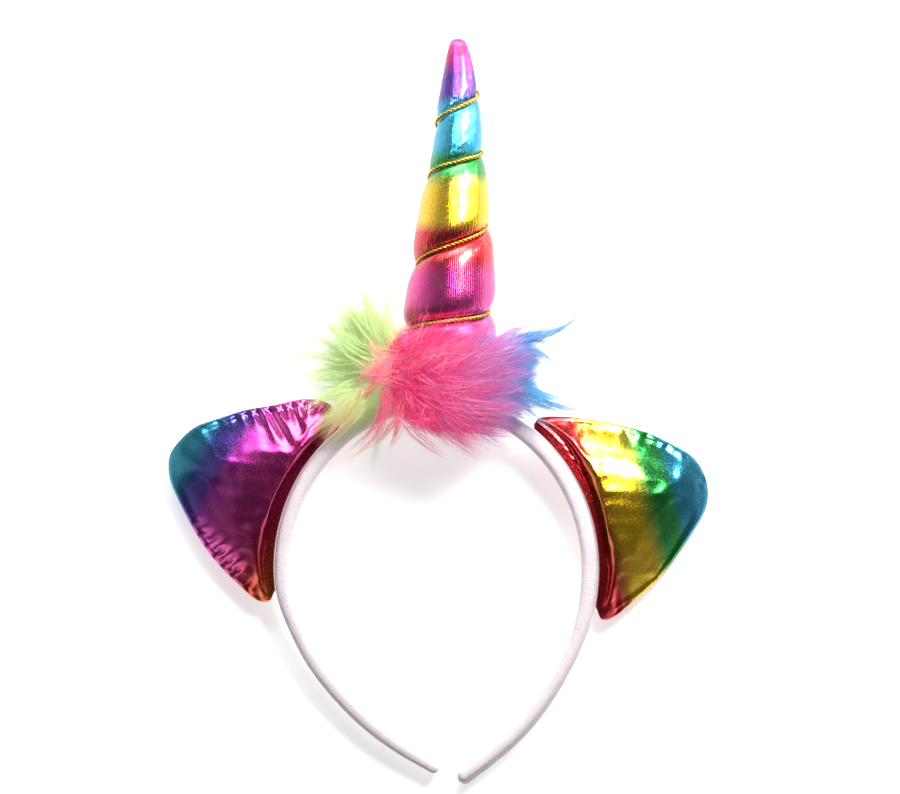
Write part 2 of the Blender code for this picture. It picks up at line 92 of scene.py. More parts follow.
# Turns from the lowest crossing at the front, share of the horn's height
SPIRAL_CLIMB = [
    (-3.25, -0.28), (-1.75, -0.06), (-0.75, 0.085), (-0.25, 0.180), (0.25, 0.235), (0.75, 0.362),
    (1.25, 0.475), (1.75, 0.612), (2.25, 0.678), (2.75, 0.760), (3.25, 0.842), (3.75, 0.920),
    (4.75, 1.060), (6.25, 1.270),
]

# %% Sizes of the ears
EAR_THICKNESS = 0.0215
EAR_CORNER_TAPER = 0.42
EAR_BELLY = 0.42
EAR_PRESS = 0.0007
LEFT_EAR_REACH = 0.0607
RIGHT_EAR_REACH = 0.0600
LEFT_EAR_SPAN = (0.192, 0.532)
RIGHT_EAR_SPAN = (0.196, 0.572)
# Round the free edge from the upper corner: share of the line between the ends, share of the reach
LEFT_EAR_EDGE = [
    (-0.020, 0.010), (-0.095, 0.095), (-0.103, 0.215), (0.012, 0.460), (0.103, 0.635), (0.211, 0.793),
    (0.300, 0.910), (0.408, 0.976), (0.495, 1.000), (0.574, 0.978), (0.653, 0.920), (0.728, 0.830),
    (0.812, 0.717), (0.917, 0.553), (1.009, 0.353), (1.064, 0.189), (1.088, 0.070), (1.064, 0.012),
    (1.013, 0.010),
]
RIGHT_EAR_EDGE = [
    (-0.015, 0.008), (-0.038, 0.048), (-0.029, 0.142), (0.018, 0.294), (0.084, 0.458), (0.152, 0.600),
    (0.228, 0.738), (0.323, 0.860), (0.425, 0.966), (0.523, 1.000), (0.610, 0.991), (0.701, 0.936),
    (0.778, 0.830), (0.870, 0.673), (0.975, 0.461), (1.058, 0.194), (1.084, 0.077), (1.075, 0.014),
    (1.021, 0.010),
]

# %% Sizes of the fur collar, and of the headband as it lies
COLLAR_HEIGHT = 0.0230
COLLAR_THICKNESS = 0.0105
# Degrees round from the front, lower and upper edge as shares of the height, share of thickness
FUR_COLLAR = [
    (-106, 0.10, 0.70, 0.62), (-84, 0.06, 0.95, 1.00), (-50, -0.33, 1.05, 1.05), (0, -0.50, 0.72, 1.00),
    (50, -0.33, 0.90, 1.05), (84, 0.06, 0.82, 1.00), (106, 0.10, 0.64, 0.62),
]
HORN_REST_SHARE = 0.14
HORN_PRESS = 0.0009
ARM_END_DEPTH = BAND_DEPTH * RIGHT_ARM_SECTIONS[-1][2]
HORN_REST_Y = HORN_FOOT_Y + HORN_REST_SHARE * HORN_HEIGHT
REST_TILT = math.atan2(HORN_RADIUS - HORN_PRESS - ARM_END_DEPTH / 2, HORN_REST_Y + RIGHT_ARM_DROP)
REST_LIFT = ARM_END_DEPTH / 2 * math.cos(REST_TILT) + RIGHT_ARM_DROP * math.sin(REST_TILT)
FOOTPRINT_SHIFT = (-0.0009205, -0.0644329)
MM = 0.001
print("the headband leans back by", round(math.degrees(REST_TILT), 2), "degrees")

# %% [markdown]
# Few rows of given numbers describe each form, and a smooth curve runs between them.  A natural
# cubic spline is the usual choice, because it bends evenly, as a sprung band or a stuffed pad does.

# %% Curves through tables of sizes
def spline(knots, rows, at):
    """A natural cubic spline through rows of values at rising knots, read at the given places."""
    knots = np.asarray(knots, float)
    rows = np.asarray(rows, float).reshape(len(knots), -1)
    step = np.diff(knots)
    slope = np.diff(rows, axis=0) / step[:, None]
    system = np.eye(len(knots))
    right = np.zeros_like(rows)
    for i in range(1, len(knots) - 1):
        system[i, i - 1:i + 2] = step[i - 1], 2 * (step[i - 1] + step[i]), step[i]
        right[i] = 6 * (slope[i] - slope[i - 1])
    bend = np.linalg.solve(system, right)
    at = np.asarray(at, float)
    i = np.clip(np.searchsorted(knots, at) - 1, 0, len(step) - 1)
    h = step[i][:, None]
    a = ((knots[i + 1] - at) / step[i])[:, None]
    b = 1 - a
    return a * rows[i] + b * rows[i + 1] + ((a ** 3 - a) * bend[i] + (b ** 3 - b) * bend[i + 1]) * h ** 2 / 6


def column(table, which, at):
    """One column of a table, read at any place along its first column."""
    table = np.asarray(table, float)
    return np.interp(at, table[:, 0], table[:, which])


def lengths_along(points):
    """The distance from the first point to each point of a line."""
    steps = np.linalg.norm(np.diff(points, axis=0), axis=1)
    return np.concatenate([[0.0], np.cumsum(steps)])


def unit(vectors):
    """The same directions, one metre long."""
    return vectors / np.maximum(np.linalg.norm(vectors, axis=-1, keepdims=True), 1e-12)

# %% Lay drawn points on the table
def laid(points):
    """Points of the upright drawing as they lie on the table, pressed flat where they touch it."""
    x, y, z = np.asarray(points, float).reshape(-1, 3).T
    c, s = math.cos(REST_TILT), math.sin(REST_TILT)
    height = np.maximum(y * s + z * c + REST_LIFT, 0.0)
    return np.stack([x + FOOTPRINT_SHIFT[0], y * c - z * s + FOOTPRINT_SHIFT[1], height], axis=1)


def table_below(y):
    """How far the table lies behind the arch's own plane, at this height up the headband."""
    return (REST_LIFT + y * math.sin(REST_TILT)) / math.cos(REST_TILT)

# %% [markdown]
# Every piece is a mesh made from arrays of points.  Patterns that run along or round a piece need
# coordinates that follow its surface, so a piece may carry its own UV map, here called wrap.

# %% Turn arrays into objects
def mesh_piece(name, points, faces=(), finish=None, wrap=None, edges=()):
    """A mesh object at the origin.  wrap holds one (u, v) for each corner of each face."""
    mesh = bpy.data.meshes.new(name)
    mesh.from_pydata(np.asarray(points, float).tolist(), list(edges), list(faces))
    if wrap is not None:
        layer = mesh.uv_layers.new(name="wrap")
        layer.data.foreach_set("uv", np.asarray(wrap, np.float32).ravel())
    if finish:
        mesh.materials.append(finish)
    if faces:
        mesh.shade_smooth()
    mesh.update()
    piece = bpy.data.objects.new(name, mesh)
    bpy.context.collection.objects.link(piece)
    return piece


def grid_faces(rows, columns, closed=False):
    """Quads over a grid of points that is stored row by row, and their corners' (row, column)."""
    across = columns if closed else columns - 1
    r, c = np.meshgrid(np.arange(rows - 1), np.arange(across), indexing="ij")
    r, c = r.ravel(), c.ravel()
    corners = np.stack([np.stack([r, r, r + 1, r + 1], 1), np.stack([c, c + 1, c + 1, c], 1)], 2)
    index = corners[..., 0] * columns + corners[..., 1] % columns
    return index, corners


def tube_faces(rings, sides):
    """Faces of a tube that is stored ring by ring and closed at both ends."""
    around, _ = grid_faces(rings, sides, closed=True)
    last = (rings - 1) * sides
    ends = [list(range(sides)), list(range(last, last + sides))[::-1]]
    return around[:, ::-1].tolist() + ends


def spots_of(mesh):
    """Where the points of a mesh are."""
    spots = np.empty(len(mesh.vertices) * 3)
    mesh.vertices.foreach_get("co", spots)
    return spots.reshape(-1, 3)


def move_to(mesh, spots):
    """Moves the points of a mesh to these places."""
    mesh.vertices.foreach_set("co", spots.ravel())
    mesh.update()


def triangles_in(piece):
    """How many triangles the piece's mesh has."""
    return sum(len(polygon.vertices) - 2 for polygon in piece.data.polygons)


def evaluated_mesh(piece, name):
    """The piece with its modifiers applied, as a plain mesh object that takes its place."""
    graph = bpy.context.evaluated_depsgraph_get()
    mesh = bpy.data.meshes.new_from_object(piece.evaluated_get(graph), depsgraph=graph)
    mesh.name = name
    old = piece.data
    piece.modifiers.clear()
    piece.data = mesh
    piece.name = name
    bpy.data.meshes.remove(old)
    return piece

# %% [markdown]
# Shaders and geometry trees are both built from nodes.  A small class that wraps one output, and knows
# plus, minus and times, lets the recipes below read as ordinary sums instead of long lists of links.

# %% Write node trees as expressions
class Wire:
    """One output of a node, with operators that add Math nodes after it."""

    def __init__(self, tree, socket):
        self.tree = tree
        self.socket = socket

    def maths(self, operation, *values):
        return self.tree.add("ShaderNodeMath", {"operation": operation}, dict(enumerate(values)))

    def __add__(self, other):
        return self.maths("ADD", self, other)

    def __sub__(self, other):
        return self.maths("SUBTRACT", self, other)

    def __rsub__(self, other):
        return self.maths("SUBTRACT", other, self)

    def __mul__(self, other):
        return self.maths("MULTIPLY", self, other)

    def __truediv__(self, other):
        return self.maths("DIVIDE", self, other)

    def __pow__(self, other):
        return self.maths("POWER", self, other)

    __radd__ = __add__
    __rmul__ = __mul__

    def sin(self):
        return self.maths("SINE", self)

    def size(self):
        return self.maths("ABSOLUTE", self)

    def most(self, other):
        return self.maths("MAXIMUM", self, other)

    def part(self, low, high):
        """This value as a share of the way from low to high, kept between 0 and 1."""
        return self.tree.add("ShaderNodeMapRange", {"interpolation_type": "SMOOTHSTEP"},
                             {"Value": self, "From Min": low, "From Max": high})


class Nodes:
    """A node tree that is being written."""

    def __init__(self, tree):
        self.tree = tree

    def add(self, kind, settings=(), values=(), out=0):
        """Any node: its settings first, then the numbers or wires of its sockets."""
        node = self.tree.nodes.new(kind)
        for name, value in dict(settings).items():
            if name == "stops":
                self.set_stops(node.color_ramp, value)
            else:
                setattr(node, name, value)
        for key, value in dict(values).items():
            if isinstance(value, Wire):
                self.tree.links.new(value.socket, node.inputs[key])
            else:
                node.inputs[key].default_value = value
        return Wire(self, node.outputs[out])

    def set_stops(self, ramp, stops):
        """Fills a colour ramp with (place, colour) stops."""
        while len(ramp.elements) < len(stops):
            ramp.elements.new(1.0)
        for element, (place, colour) in zip(ramp.elements, stops):
            element.position = place
            element.color = (*colour, 1.0)

    def mix(self, factor, first, second):
        """A colour between two colours."""
        return self.add("ShaderNodeMix", {"data_type": "RGBA"}, {0: factor, 6: first, 7: second}, out=2)

    def noise(self, where, scale, detail=2.0, roughness=0.5):
        """Smooth cloudy values from 0 to 1."""
        return self.add("ShaderNodeTexNoise", {}, {
            "Vector": where, "Scale": scale, "Detail": detail, "Roughness": roughness})


def opaque(colour):
    """A colour as the sockets take it."""
    return (*colour, 1.0)


def new_finish(name):
    """A material with its Principled shader, and the tree that it is written in."""
    finish = bpy.data.materials.new(name)
    finish.use_nodes = True
    shader = finish.node_tree.nodes["Principled BSDF"]
    return finish, Nodes(finish.node_tree), shader


def join(nodes, wire, socket):
    """Links a wire to a shader's socket."""
    nodes.tree.links.new(wire.socket, socket)


def set_inputs(node, values):
    """Sets a node's inputs, given as {label: value}."""
    for label, value in values.items():
        node.inputs[label].default_value = value

# %% [markdown]
# Geometry Nodes make what repeats: ribs, pile, the cord's twist and hair.  Each tree is written once
# with named inputs for its sizes.  Its result is then turned into a plain mesh.

# %% Write a geometry tree and use it
def new_growth(name, inputs):
    """An empty geometry tree with named inputs, given as {name: number}."""
    tree = bpy.data.node_groups.new(name, "GeometryNodeTree")
    tree.interface.new_socket("Geometry", in_out="INPUT", socket_type="NodeSocketGeometry")
    for label, value in inputs.items():
        kind = "NodeSocketInt" if isinstance(value, int) else "NodeSocketFloat"
        tree.interface.new_socket(label, in_out="INPUT", socket_type=kind).default_value = value
    tree.interface.new_socket("Geometry", in_out="OUTPUT", socket_type="NodeSocketGeometry")
    nodes = Nodes(tree)
    entry = tree.nodes.new("NodeGroupInput")
    wires = {socket.name: Wire(nodes, socket) for socket in entry.outputs if socket.name}
    return tree, nodes, wires


def end_growth(nodes, shape, finish):
    """Ends a geometry tree: copies made real, then the finish."""
    real = nodes.add("GeometryNodeRealizeInstances", {}, {0: shape})
    dressed = nodes.add("GeometryNodeSetMaterial", {}, {"Geometry": real, "Material": finish})
    end = nodes.tree.nodes.new("NodeGroupOutput")
    nodes.tree.links.new(dressed.socket, end.inputs[0])


def grown(piece, tree, values):
    """The piece after the geometry tree, as a plain mesh."""
    modifier = piece.modifiers.new(tree.name, "NODES")
    modifier.node_group = tree
    for item in tree.interface.items_tree:
        if item.in_out == "INPUT" and item.name in values:
            modifier[item.identifier] = values[item.name]
    return evaluated_mesh(piece, piece.name)


def give_attribute(piece, name, values):
    """Stores one number for each point of the piece."""
    layer = piece.data.attributes.new(name, "FLOAT", "POINT")
    layer.data.foreach_set("value", np.asarray(values, np.float32).ravel())

# %% [markdown]
# The photograph looks straight down on the headband, so the camera stands over the arch's own plane,
# far enough off for the horn and the ears to keep their proportions.

# %% Camera over the headband
PIXELS_PER_MM = 2.46
FRAME_WIDTH_MM = 900 / PIXELS_PER_MM
CAMERA_DISTANCE = 1.5
LOOKS_AT = ((450 - 436) / PIXELS_PER_MM * MM, (570 - 397) / PIXELS_PER_MM * MM)
camera_data = bpy.data.cameras.new("camera")
camera_data.sensor_width = 36.0
camera_data.lens = 36.0 * CAMERA_DISTANCE / (FRAME_WIDTH_MM * MM)
camera = bpy.data.objects.new("camera", camera_data)
bpy.context.collection.objects.link(camera)
drawn_x, drawn_y = LOOKS_AT
lean_c, lean_s = math.cos(REST_TILT), math.sin(REST_TILT)
camera.location = (
    drawn_x + FOOTPRINT_SHIFT[0],
    drawn_y * lean_c - CAMERA_DISTANCE * lean_s + FOOTPRINT_SHIFT[1],
    drawn_y * lean_s + CAMERA_DISTANCE * lean_c + REST_LIFT,
)
camera.rotation_euler = (REST_TILT, 0.0, 0.0)
bpy.context.scene.camera = camera
print("lens", round(camera_data.lens, 1), "mm")

# %% [markdown]
# Foil mirrors what stands round it.  In the photograph the middle of each pad is dark, bright bands run
# beside it and its edges are pale, as from a dark ceiling, softboxes and a white table.  So the room is
# dark overhead and pale low down, with one small softbox close by and two large ones further off.

# %% White table
table_finish, nodes, shader = new_finish("white_table")
TABLE_GLOW = 0.60
set_inputs(shader, {
    "Base Color": opaque((0.86, 0.86, 0.86)), "Roughness": 0.9, "Specular IOR Level": 0.1,
    "Emission Color": opaque((1.0, 1.0, 1.0)), "Emission Strength": TABLE_GLOW,
})
TABLE_HALF = 3.0
table_points = [(-TABLE_HALF, -TABLE_HALF, 0), (TABLE_HALF, -TABLE_HALF, 0),
                (TABLE_HALF, TABLE_HALF, 0), (-TABLE_HALF, TABLE_HALF, 0)]
table = mesh_piece("table", table_points, [(0, 1, 2, 3)], table_finish)

# %% Dark ceiling and pale walls
world = bpy.data.worlds.new("studio")
bpy.context.scene.world = world
world.use_nodes = True
nodes = Nodes(world.node_tree)
up = nodes.add("ShaderNodeSeparateXYZ", {}, {0: nodes.add("ShaderNodeTexCoord", out=0)}, out=2)
room = nodes.add("ShaderNodeValToRGB", {"stops": [
    (0.00, (0.85, 0.85, 0.86)), (0.10, (0.60, 0.60, 0.62)), (0.26, (0.20, 0.20, 0.21)),
    (0.60, (0.07, 0.07, 0.075)), (0.86, (0.025, 0.025, 0.03)), (0.955, (0.022, 0.022, 0.025)),
    (0.975, (0.035, 0.035, 0.035)), (1.00, (0.045, 0.045, 0.045))]}, {0: up})
join(nodes, room, world.node_tree.nodes["Background"].inputs["Color"])
world.node_tree.nodes["Background"].inputs["Strength"].default_value = 1.0

# %% Softboxes
def softbox(name, place, aims_at, width, length, watts):
    """A flat lamp at a place in metres, turned to face another."""
    light = bpy.data.lights.new(name, "AREA")
    light.shape = "RECTANGLE"
    light.size = width
    light.size_y = length
    light.energy = watts
    lamp = bpy.data.objects.new(name, light)
    bpy.context.collection.objects.link(lamp)
    lamp.location = place
    lamp.rotation_euler = (Vector(place) - Vector(aims_at)).to_track_quat("Z", "Y").to_euler()
    return lamp


softbox("near_softbox", (0.205, 0.225, 0.36), (0.0, 0.05, 0.02), 0.15, 0.24, 3.2)
softbox("top_softbox", (0.0, 0.93, 0.72), (0.0, 0.0, 0.0), 1.00, 0.44, 14.0)
softbox("left_softbox", (-1.05, 0.20, 0.55), (0.0, 0.0, 0.0), 0.80, 1.40, 1.0)
scene = bpy.context.scene
scene.view_settings.view_transform = "Standard"
scene.view_settings.look = "None"

# %% [markdown]
# The band is a sprung strip, padded and covered in ribbed velvet.  A sweep along its middle line
# keeps its changing width and roll.

# %% The band's middle line
def band_middle():
    """Points down the middle of the band, from the left arm's end over the crown to the right one's."""
    half_width = (HEAD_WIDTH + BAND_THICKNESS) / 2
    rise = CROWN_RISE + BAND_THICKNESS / 2
    left = [(-half_width * out, -LEFT_ARM_DROP * down) for down, out in reversed(LEFT_ARM_SHAPE)]
    right = [(half_width * out, -RIGHT_ARM_DROP * down) for down, out in RIGHT_ARM_SHAPE]
    arch = [(-half_width * math.cos(a), rise * math.sin(a)) for a in np.linspace(0, math.pi, 13)]
    corners = np.array(left + arch + right)
    along = lengths_along(corners)
    line = spline(along, corners, np.linspace(0, along[-1], 1200))
    return line, lengths_along(line)


BAND_LINE, BAND_ALONG = band_middle()
CROWN_ALONG = BAND_ALONG[np.argmax(BAND_LINE[:, 1])]


def band_frames(shares):
    """Middle, tangent, outward way, thickness, depth and roll at shares from -1 (left) to 1 (right)."""
    shares = np.atleast_1d(np.asarray(shares, float))
    reach = 0.002
    at = CROWN_ALONG + np.where(shares < 0, shares * CROWN_ALONG, shares * (BAND_ALONG[-1] - CROWN_ALONG))
    middle, ahead, behind = (
        np.stack([np.interp(at + step, BAND_ALONG, BAND_LINE[:, k]) for k in (0, 1)], 1)
        for step in (0.0, reach, -reach)
    )
    tangent = unit(ahead - behind)
    flat = np.zeros(len(shares))
    middle = np.column_stack([middle, flat])
    tangent = np.column_stack([tangent, flat])
    outward = np.stack([-tangent[:, 1], tangent[:, 0], flat], 1)
    sizes = [
        np.where(shares < 0, column(LEFT_ARM_SECTIONS, k, abs(shares)),
                 column(RIGHT_ARM_SECTIONS, k, abs(shares)))
        for k in (1, 2, 3)
    ]
    roll = np.radians(sizes[2]) * np.where(shares < 0, -1, 1)
    return middle, tangent, outward, BAND_THICKNESS * sizes[0], BAND_DEPTH * sizes[1], roll


def arch_top(x):
    """Height of the band's outer face over a place beside its middle."""
    half_width = HEAD_WIDTH / 2 + BAND_THICKNESS
    rise = CROWN_RISE + BAND_THICKNESS
    return rise * np.sqrt(np.maximum(0.0, 1 - (np.asarray(x) / half_width) ** 2))

# %% [markdown]
# White velvet drinks light and gives back a soft bloom at its edges, which is what sheen is for.  Its
# pile lies in ribs across the band, and the hollows between the ribs are painted a darker pinkish grey as
# painted shade.

# %% Velvet finish
velvet, nodes, shader = new_finish("white_velvet_pile")
here = nodes.add("ShaderNodeTexCoord", out=3)
patches = nodes.noise(here, 130.0, 3.0)
crush = nodes.noise(here, 900.0, 3.0, 0.65)
fibres = nodes.noise(here, 4200.0, 1.0)
hollow = nodes.add("ShaderNodeAttribute", {"attribute_name": "hollow"}, out=2)
cloth = nodes.mix(patches, opaque((0.72, 0.65, 0.68)), opaque((0.85, 0.79, 0.81)))
cloth = nodes.mix((1 - crush.part(0.32, 0.62)) * 0.55, cloth, opaque((0.62, 0.54, 0.58)))
# The hollows between the ribs are painted darker: painted shade.
cloth = nodes.mix(hollow * 0.42, cloth, opaque((0.56, 0.47, 0.52)))
join(nodes, cloth, shader.inputs["Base Color"])
set_inputs(shader, {
    "Roughness": 0.95, "Specular IOR Level": 0.15, "Sheen Weight": 0.55, "Sheen Roughness": 0.45,
})
relief = nodes.add("ShaderNodeBump", {}, {
    "Strength": 0.55, "Distance": 0.00018, "Height": crush + fibres * 0.5})
join(nodes, relief, shader.inputs["Normal"])
print("velvet ready")

# %% Sweep the padded band
BAND_RING_STEP = 0.00019
BAND_SIDES = 24
END_RINGS = 9


def superellipse(count, squareness):
    """A rounded rectangle as shares of half its two sizes."""
    angle = 2 * math.pi * (np.arange(count) + 0.5) / count
    c, s = np.cos(angle), np.sin(angle)
    return np.sign(c) * abs(c) ** (2 / squareness), np.sign(s) * abs(s) ** (2 / squareness)


def sweep_band():
    """Rings of points along the band, with how far along and how far outward each one lies."""
    rings = round(BAND_ALONG[-1] / BAND_RING_STEP)
    at = np.linspace(0, BAND_ALONG[-1], rings)
    shares = np.where(at < CROWN_ALONG, at / CROWN_ALONG - 1,
                      (at - CROWN_ALONG) / (BAND_ALONG[-1] - CROWN_ALONG))
    shares[0], shares[-1] = -1.0, 1.0
    turn = np.radians(np.linspace(8, 90, END_RINGS))
    shares = np.concatenate([np.full(END_RINGS, -1.0), shares, np.full(END_RINGS, 1.0)])
    grow = np.concatenate([np.cos(turn)[::-1], np.ones(rings), np.cos(turn)])
    middle, tangent, outward, thickness, depth, roll = band_frames(shares)
    ahead = np.zeros(len(shares))
    ahead[:END_RINGS] = -np.sin(turn)[::-1] * thickness[0] / 2
    ahead[-END_RINGS:] = np.sin(turn) * thickness[-1] / 2
    front = np.array([0.0, 0.0, 1.0])
    across = outward * np.cos(roll)[:, None] + front * np.sin(roll)[:, None]
    forward = front * np.cos(roll)[:, None] - outward * np.sin(roll)[:, None]
    out, fore = superellipse(BAND_SIDES, BAND_SQUARENESS)
    centre = middle + tangent * ahead[:, None]
    wide = (thickness / 2 * grow)[:, None, None] * out[None, :, None] * across[:, None]
    deep = (depth / 2 * grow)[:, None, None] * fore[None, :, None] * forward[:, None]
    points = centre[:, None] + wide + deep
    return points, lengths_along(centre), out


band_points, band_along, band_out = sweep_band()
band_faces = tube_faces(len(band_points), BAND_SIDES)
band = mesh_piece("velvet_band", laid(band_points), band_faces, velvet)
give_attribute(band, "along", np.repeat(band_along, BAND_SIDES))
give_attribute(band, "outer", np.tile(band_out, len(band_points)))
print("band rings:", len(band_points))

# %% [markdown]
# The ribs and the loose pile follow the band's surface, so one geometry tree raises the ribs from how
# far along each point lies, then scatters short tapered fibres that lean at random.

# %% Ribs and pile on the band
RIBS = {
    "Rib pitch": 0.00078, "Rib height": 0.00021, "Pile per square metre": 950000.0,
    "Pile length": 0.00062, "Seed": 5,
}
tree, nodes, inputs = new_growth("ribs_and_pile", RIBS)
along = nodes.add("GeometryNodeInputNamedAttribute", {"data_type": "FLOAT"}, {"Name": "along"})
outer = nodes.add("GeometryNodeInputNamedAttribute", {"data_type": "FLOAT"}, {"Name": "outer"})
spot = nodes.add("GeometryNodeInputPosition")
facing = nodes.add("GeometryNodeInputNormal")
wander = nodes.noise(spot, 260.0, 2.0)
wave = ((along / inputs["Rib pitch"] + wander * 1.1) * (2 * math.pi)).sin() * 0.5 + 0.5
raised = wave * (outer * 0.30 + 0.70) + nodes.noise(spot, 1500.0, 1.0) * 0.5 - 0.8
lift = nodes.add("ShaderNodeVectorMath", {"operation": "SCALE"}, {
    0: facing, "Scale": raised * inputs["Rib height"]})
# Keeps where the hollows between the ribs are, for the finish's painted shade.
ribbed = nodes.add("GeometryNodeStoreNamedAttribute", {"data_type": "FLOAT"},
                   {"Geometry": inputs["Geometry"], "Name": "hollow", "Value": 1 - wave})
ribbed = nodes.add("GeometryNodeSetPosition", {}, {"Geometry": ribbed, "Offset": lift})
scatter = nodes.add("GeometryNodeDistributePointsOnFaces", {}, {
    "Mesh": ribbed, "Seed": inputs["Seed"],
    "Density": inputs["Pile per square metre"] * (outer * 0.35 + 0.65)})
grain_way = Wire(nodes, scatter.socket.node.outputs["Normal"])
fibre = nodes.add("GeometryNodeMeshCone", {"fill_type": "NGON"}, {
    "Vertices": 3, "Radius Top": 0.0, "Radius Bottom": 0.00005, "Depth": inputs["Pile length"]})
stray = nodes.add("FunctionNodeRandomValue", {"data_type": "FLOAT_VECTOR"}, {
    0: (-0.8, -0.8, -0.8), 1: (0.8, 0.8, 0.8)})
leaning = nodes.add("ShaderNodeVectorMath", {"operation": "ADD"}, {0: grain_way, 1: stray})
turned = nodes.add("FunctionNodeAlignRotationToVector", {"axis": "Z"}, {"Vector": leaning})
lengths = nodes.add("FunctionNodeRandomValue", {"data_type": "FLOAT"}, {2: 0.4, 3: 1.0, "Seed": 3}, out=1)
pile = nodes.add("GeometryNodeInstanceOnPoints", {}, {
    "Points": scatter, "Instance": fibre, "Rotation": turned, "Scale": lengths})
both = nodes.tree.nodes.new("GeometryNodeJoinGeometry")
nodes.tree.links.new(ribbed.socket, both.inputs[0])
nodes.tree.links.new(pile.socket, both.inputs[0])
end_growth(nodes, Wire(nodes, both.outputs[0]), velvet)
band = grown(band, tree, RIBS)
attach(band, "root")
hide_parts("headband")
print("velvet band:", triangles_in(band), "triangles")

# %% [markdown]
# The horn and the ears are knitted cloth under a thin metal film printed with a rainbow.  The film is a
# mirror broken by the knit: fine ribs, a grain where the film has cracked, and colours that
# run into each other.  Pale flecks in the colour are partly worn film and partly painted glints, and the
# horn's rib crests are painted pale as a painted highlight.  The shader is metal with a thin clear coat, and
# only the colours differ.

# %% Foil finish
def foil_finish(name, stops, place_of, ribs_of, dull, grainy, relief, coat, fleck=0.35, painted_crest_highlight=0.0):
    """Printed foil: place_of gives the colour's place in the rainbow, ribs_of the knit's height."""
    finish, nodes, shader = new_finish(name)
    here = nodes.add("ShaderNodeTexCoord", out=3)
    cloud = nodes.noise(here, 60.0, 3.0, 0.6)
    grain = nodes.noise(here, 1500.0, 2.0, 0.6)
    flakes = nodes.add("ShaderNodeTexVoronoi", {"feature": "F1"}, {"Vector": here, "Scale": 1900.0})
    place = place_of(nodes, here) + (cloud - 0.5) * 0.02 + (grain - 0.5) * 0.022
    colour = nodes.add("ShaderNodeValToRGB", {"stops": stops}, {0: place})
    ribs = ribs_of(nodes, here)
    # Pale flecks are partly worn film and partly painted glints; pale rib crests are a painted highlight.
    worn_flecks_and_painted_highlights = (1 - flakes.part(0.12, 0.55)) * fleck * nodes.noise(here, 320.0, 2.0).part(0.45, 0.75)
    worn_flecks_and_painted_highlights = worn_flecks_and_painted_highlights.most(ribs.part(0.45, 0.75) * painted_crest_highlight)
    colour = nodes.mix(worn_flecks_and_painted_highlights, colour, opaque((0.90, 0.84, 0.88)))
    colour = nodes.mix(grain.part(0.62, 0.80) * 0.35, colour, opaque((0.02, 0.01, 0.02)))
    join(nodes, colour, shader.inputs["Base Color"])
    join(nodes, grain.part(0.30, 0.75) * (dull[1] - dull[0]) + dull[0], shader.inputs["Roughness"])
    set_inputs(shader, {
        "Metallic": 0.92, "Coat Weight": coat, "Coat IOR": 1.55, "Coat Roughness": 0.16,
        "Specular Tint": opaque((0.30, 0.30, 0.34)),
    })
    height = (grain * 0.55 + flakes * 0.35) * grainy + ribs
    bump = nodes.add("ShaderNodeBump", {}, {"Strength": relief, "Distance": 0.00016, "Height": height})
    join(nodes, bump, shader.inputs["Normal"])
    return finish


def wrap_part(nodes, which):
    """One coordinate of the piece's own UV map."""
    where = nodes.add("ShaderNodeUVMap", {"uv_map": "wrap"})
    return nodes.add("ShaderNodeSeparateXYZ", {}, {0: where}, out=which)


MAGENTA = (0.64, 0.040, 0.25)
PURPLE = (0.11, 0.035, 0.34)
CYAN = (0.04, 0.42, 0.62)
GREEN = (0.02, 0.30, 0.05)
GOLD = (0.82, 0.52, 0.012)
RED = (0.56, 0.014, 0.020)
HORN_COLOURS = [
    (0.000, MAGENTA), (0.335, MAGENTA), (0.372, RED), (0.450, RED), (0.485, GOLD), (0.575, GOLD),
    (0.615, GREEN), (0.655, GREEN), (0.690, CYAN), (0.800, CYAN), (0.838, PURPLE), (0.895, PURPLE),
    (0.930, MAGENTA),
]
KNIT_LINES = 120
SMALL_PLEATS = 68


def horn_gathers(nodes, here):
    """Small pleats by the cord: a wave round the horn that fades away from the cord."""
    gather = nodes.add("ShaderNodeAttribute", {"attribute_name": "gather"}, out=2)
    stray = nodes.noise(here, 170.0, 2.0)
    return ((wrap_part(nodes, 0) * SMALL_PLEATS + stray * 1.6) * (2 * math.pi)).sin() * gather


def horn_place(nodes, here):
    """Place in the horn's rainbow, which the pleats carry up and down."""
    return wrap_part(nodes, 1) + horn_gathers(nodes, here) * 0.012


def horn_knit(nodes, here):
    """Ribs of the knit up the horn, with the small pleats by the cord."""
    stray = nodes.noise(here, 90.0, 2.0)
    ribs = ((wrap_part(nodes, 0) * KNIT_LINES + stray * 0.8) * math.pi).sin().size()
    return ribs * 0.75 + horn_gathers(nodes, here) * 1.1


horn_foil = foil_finish("horn_foil", HORN_COLOURS, horn_place, horn_knit, dull=(0.18, 0.30), grainy=0.30,
                        relief=0.62, painted_crest_highlight=0.06, coat=0.65)
print("horn foil ready")

# %% [markdown]
# Stuffing presses outward everywhere except where the cord pulls the cloth in.  The horn is drawn as
# rings whose radius dips in a groove along the cord's path.  Cloth gathered by the cord stands up in
# small pleats just above and below it.

# %% The horn's outline and the cord's path
CREASE_SHARE = 0.48
CREASE_WIDTH = 0.0015
SHOULDER_WIDTH = 0.0047


def climb(turns):
    """Height of the cord above the horn's foot after this many turns."""
    knots = np.array(SPIRAL_CLIMB)
    flat = np.asarray(turns, float)
    return spline(knots[:, 0], knots[:, 1], flat.ravel())[:, 0].reshape(flat.shape) * HORN_HEIGHT


def horn_outline(height):
    """Radius of the stuffed horn between the cord's turns, and the sideways place of its middle."""
    share = np.asarray(height, float) / HORN_HEIGHT
    table = np.array(HORN_SECTIONS)
    lean = spline(table[:, 0], table[:, 2], share.ravel())[:, 0].reshape(share.shape)
    return np.interp(share, table[:, 0], table[:, 1]) * HORN_RADIUS, HORN_FOOT_OFFSET + lean * HORN_LEAN


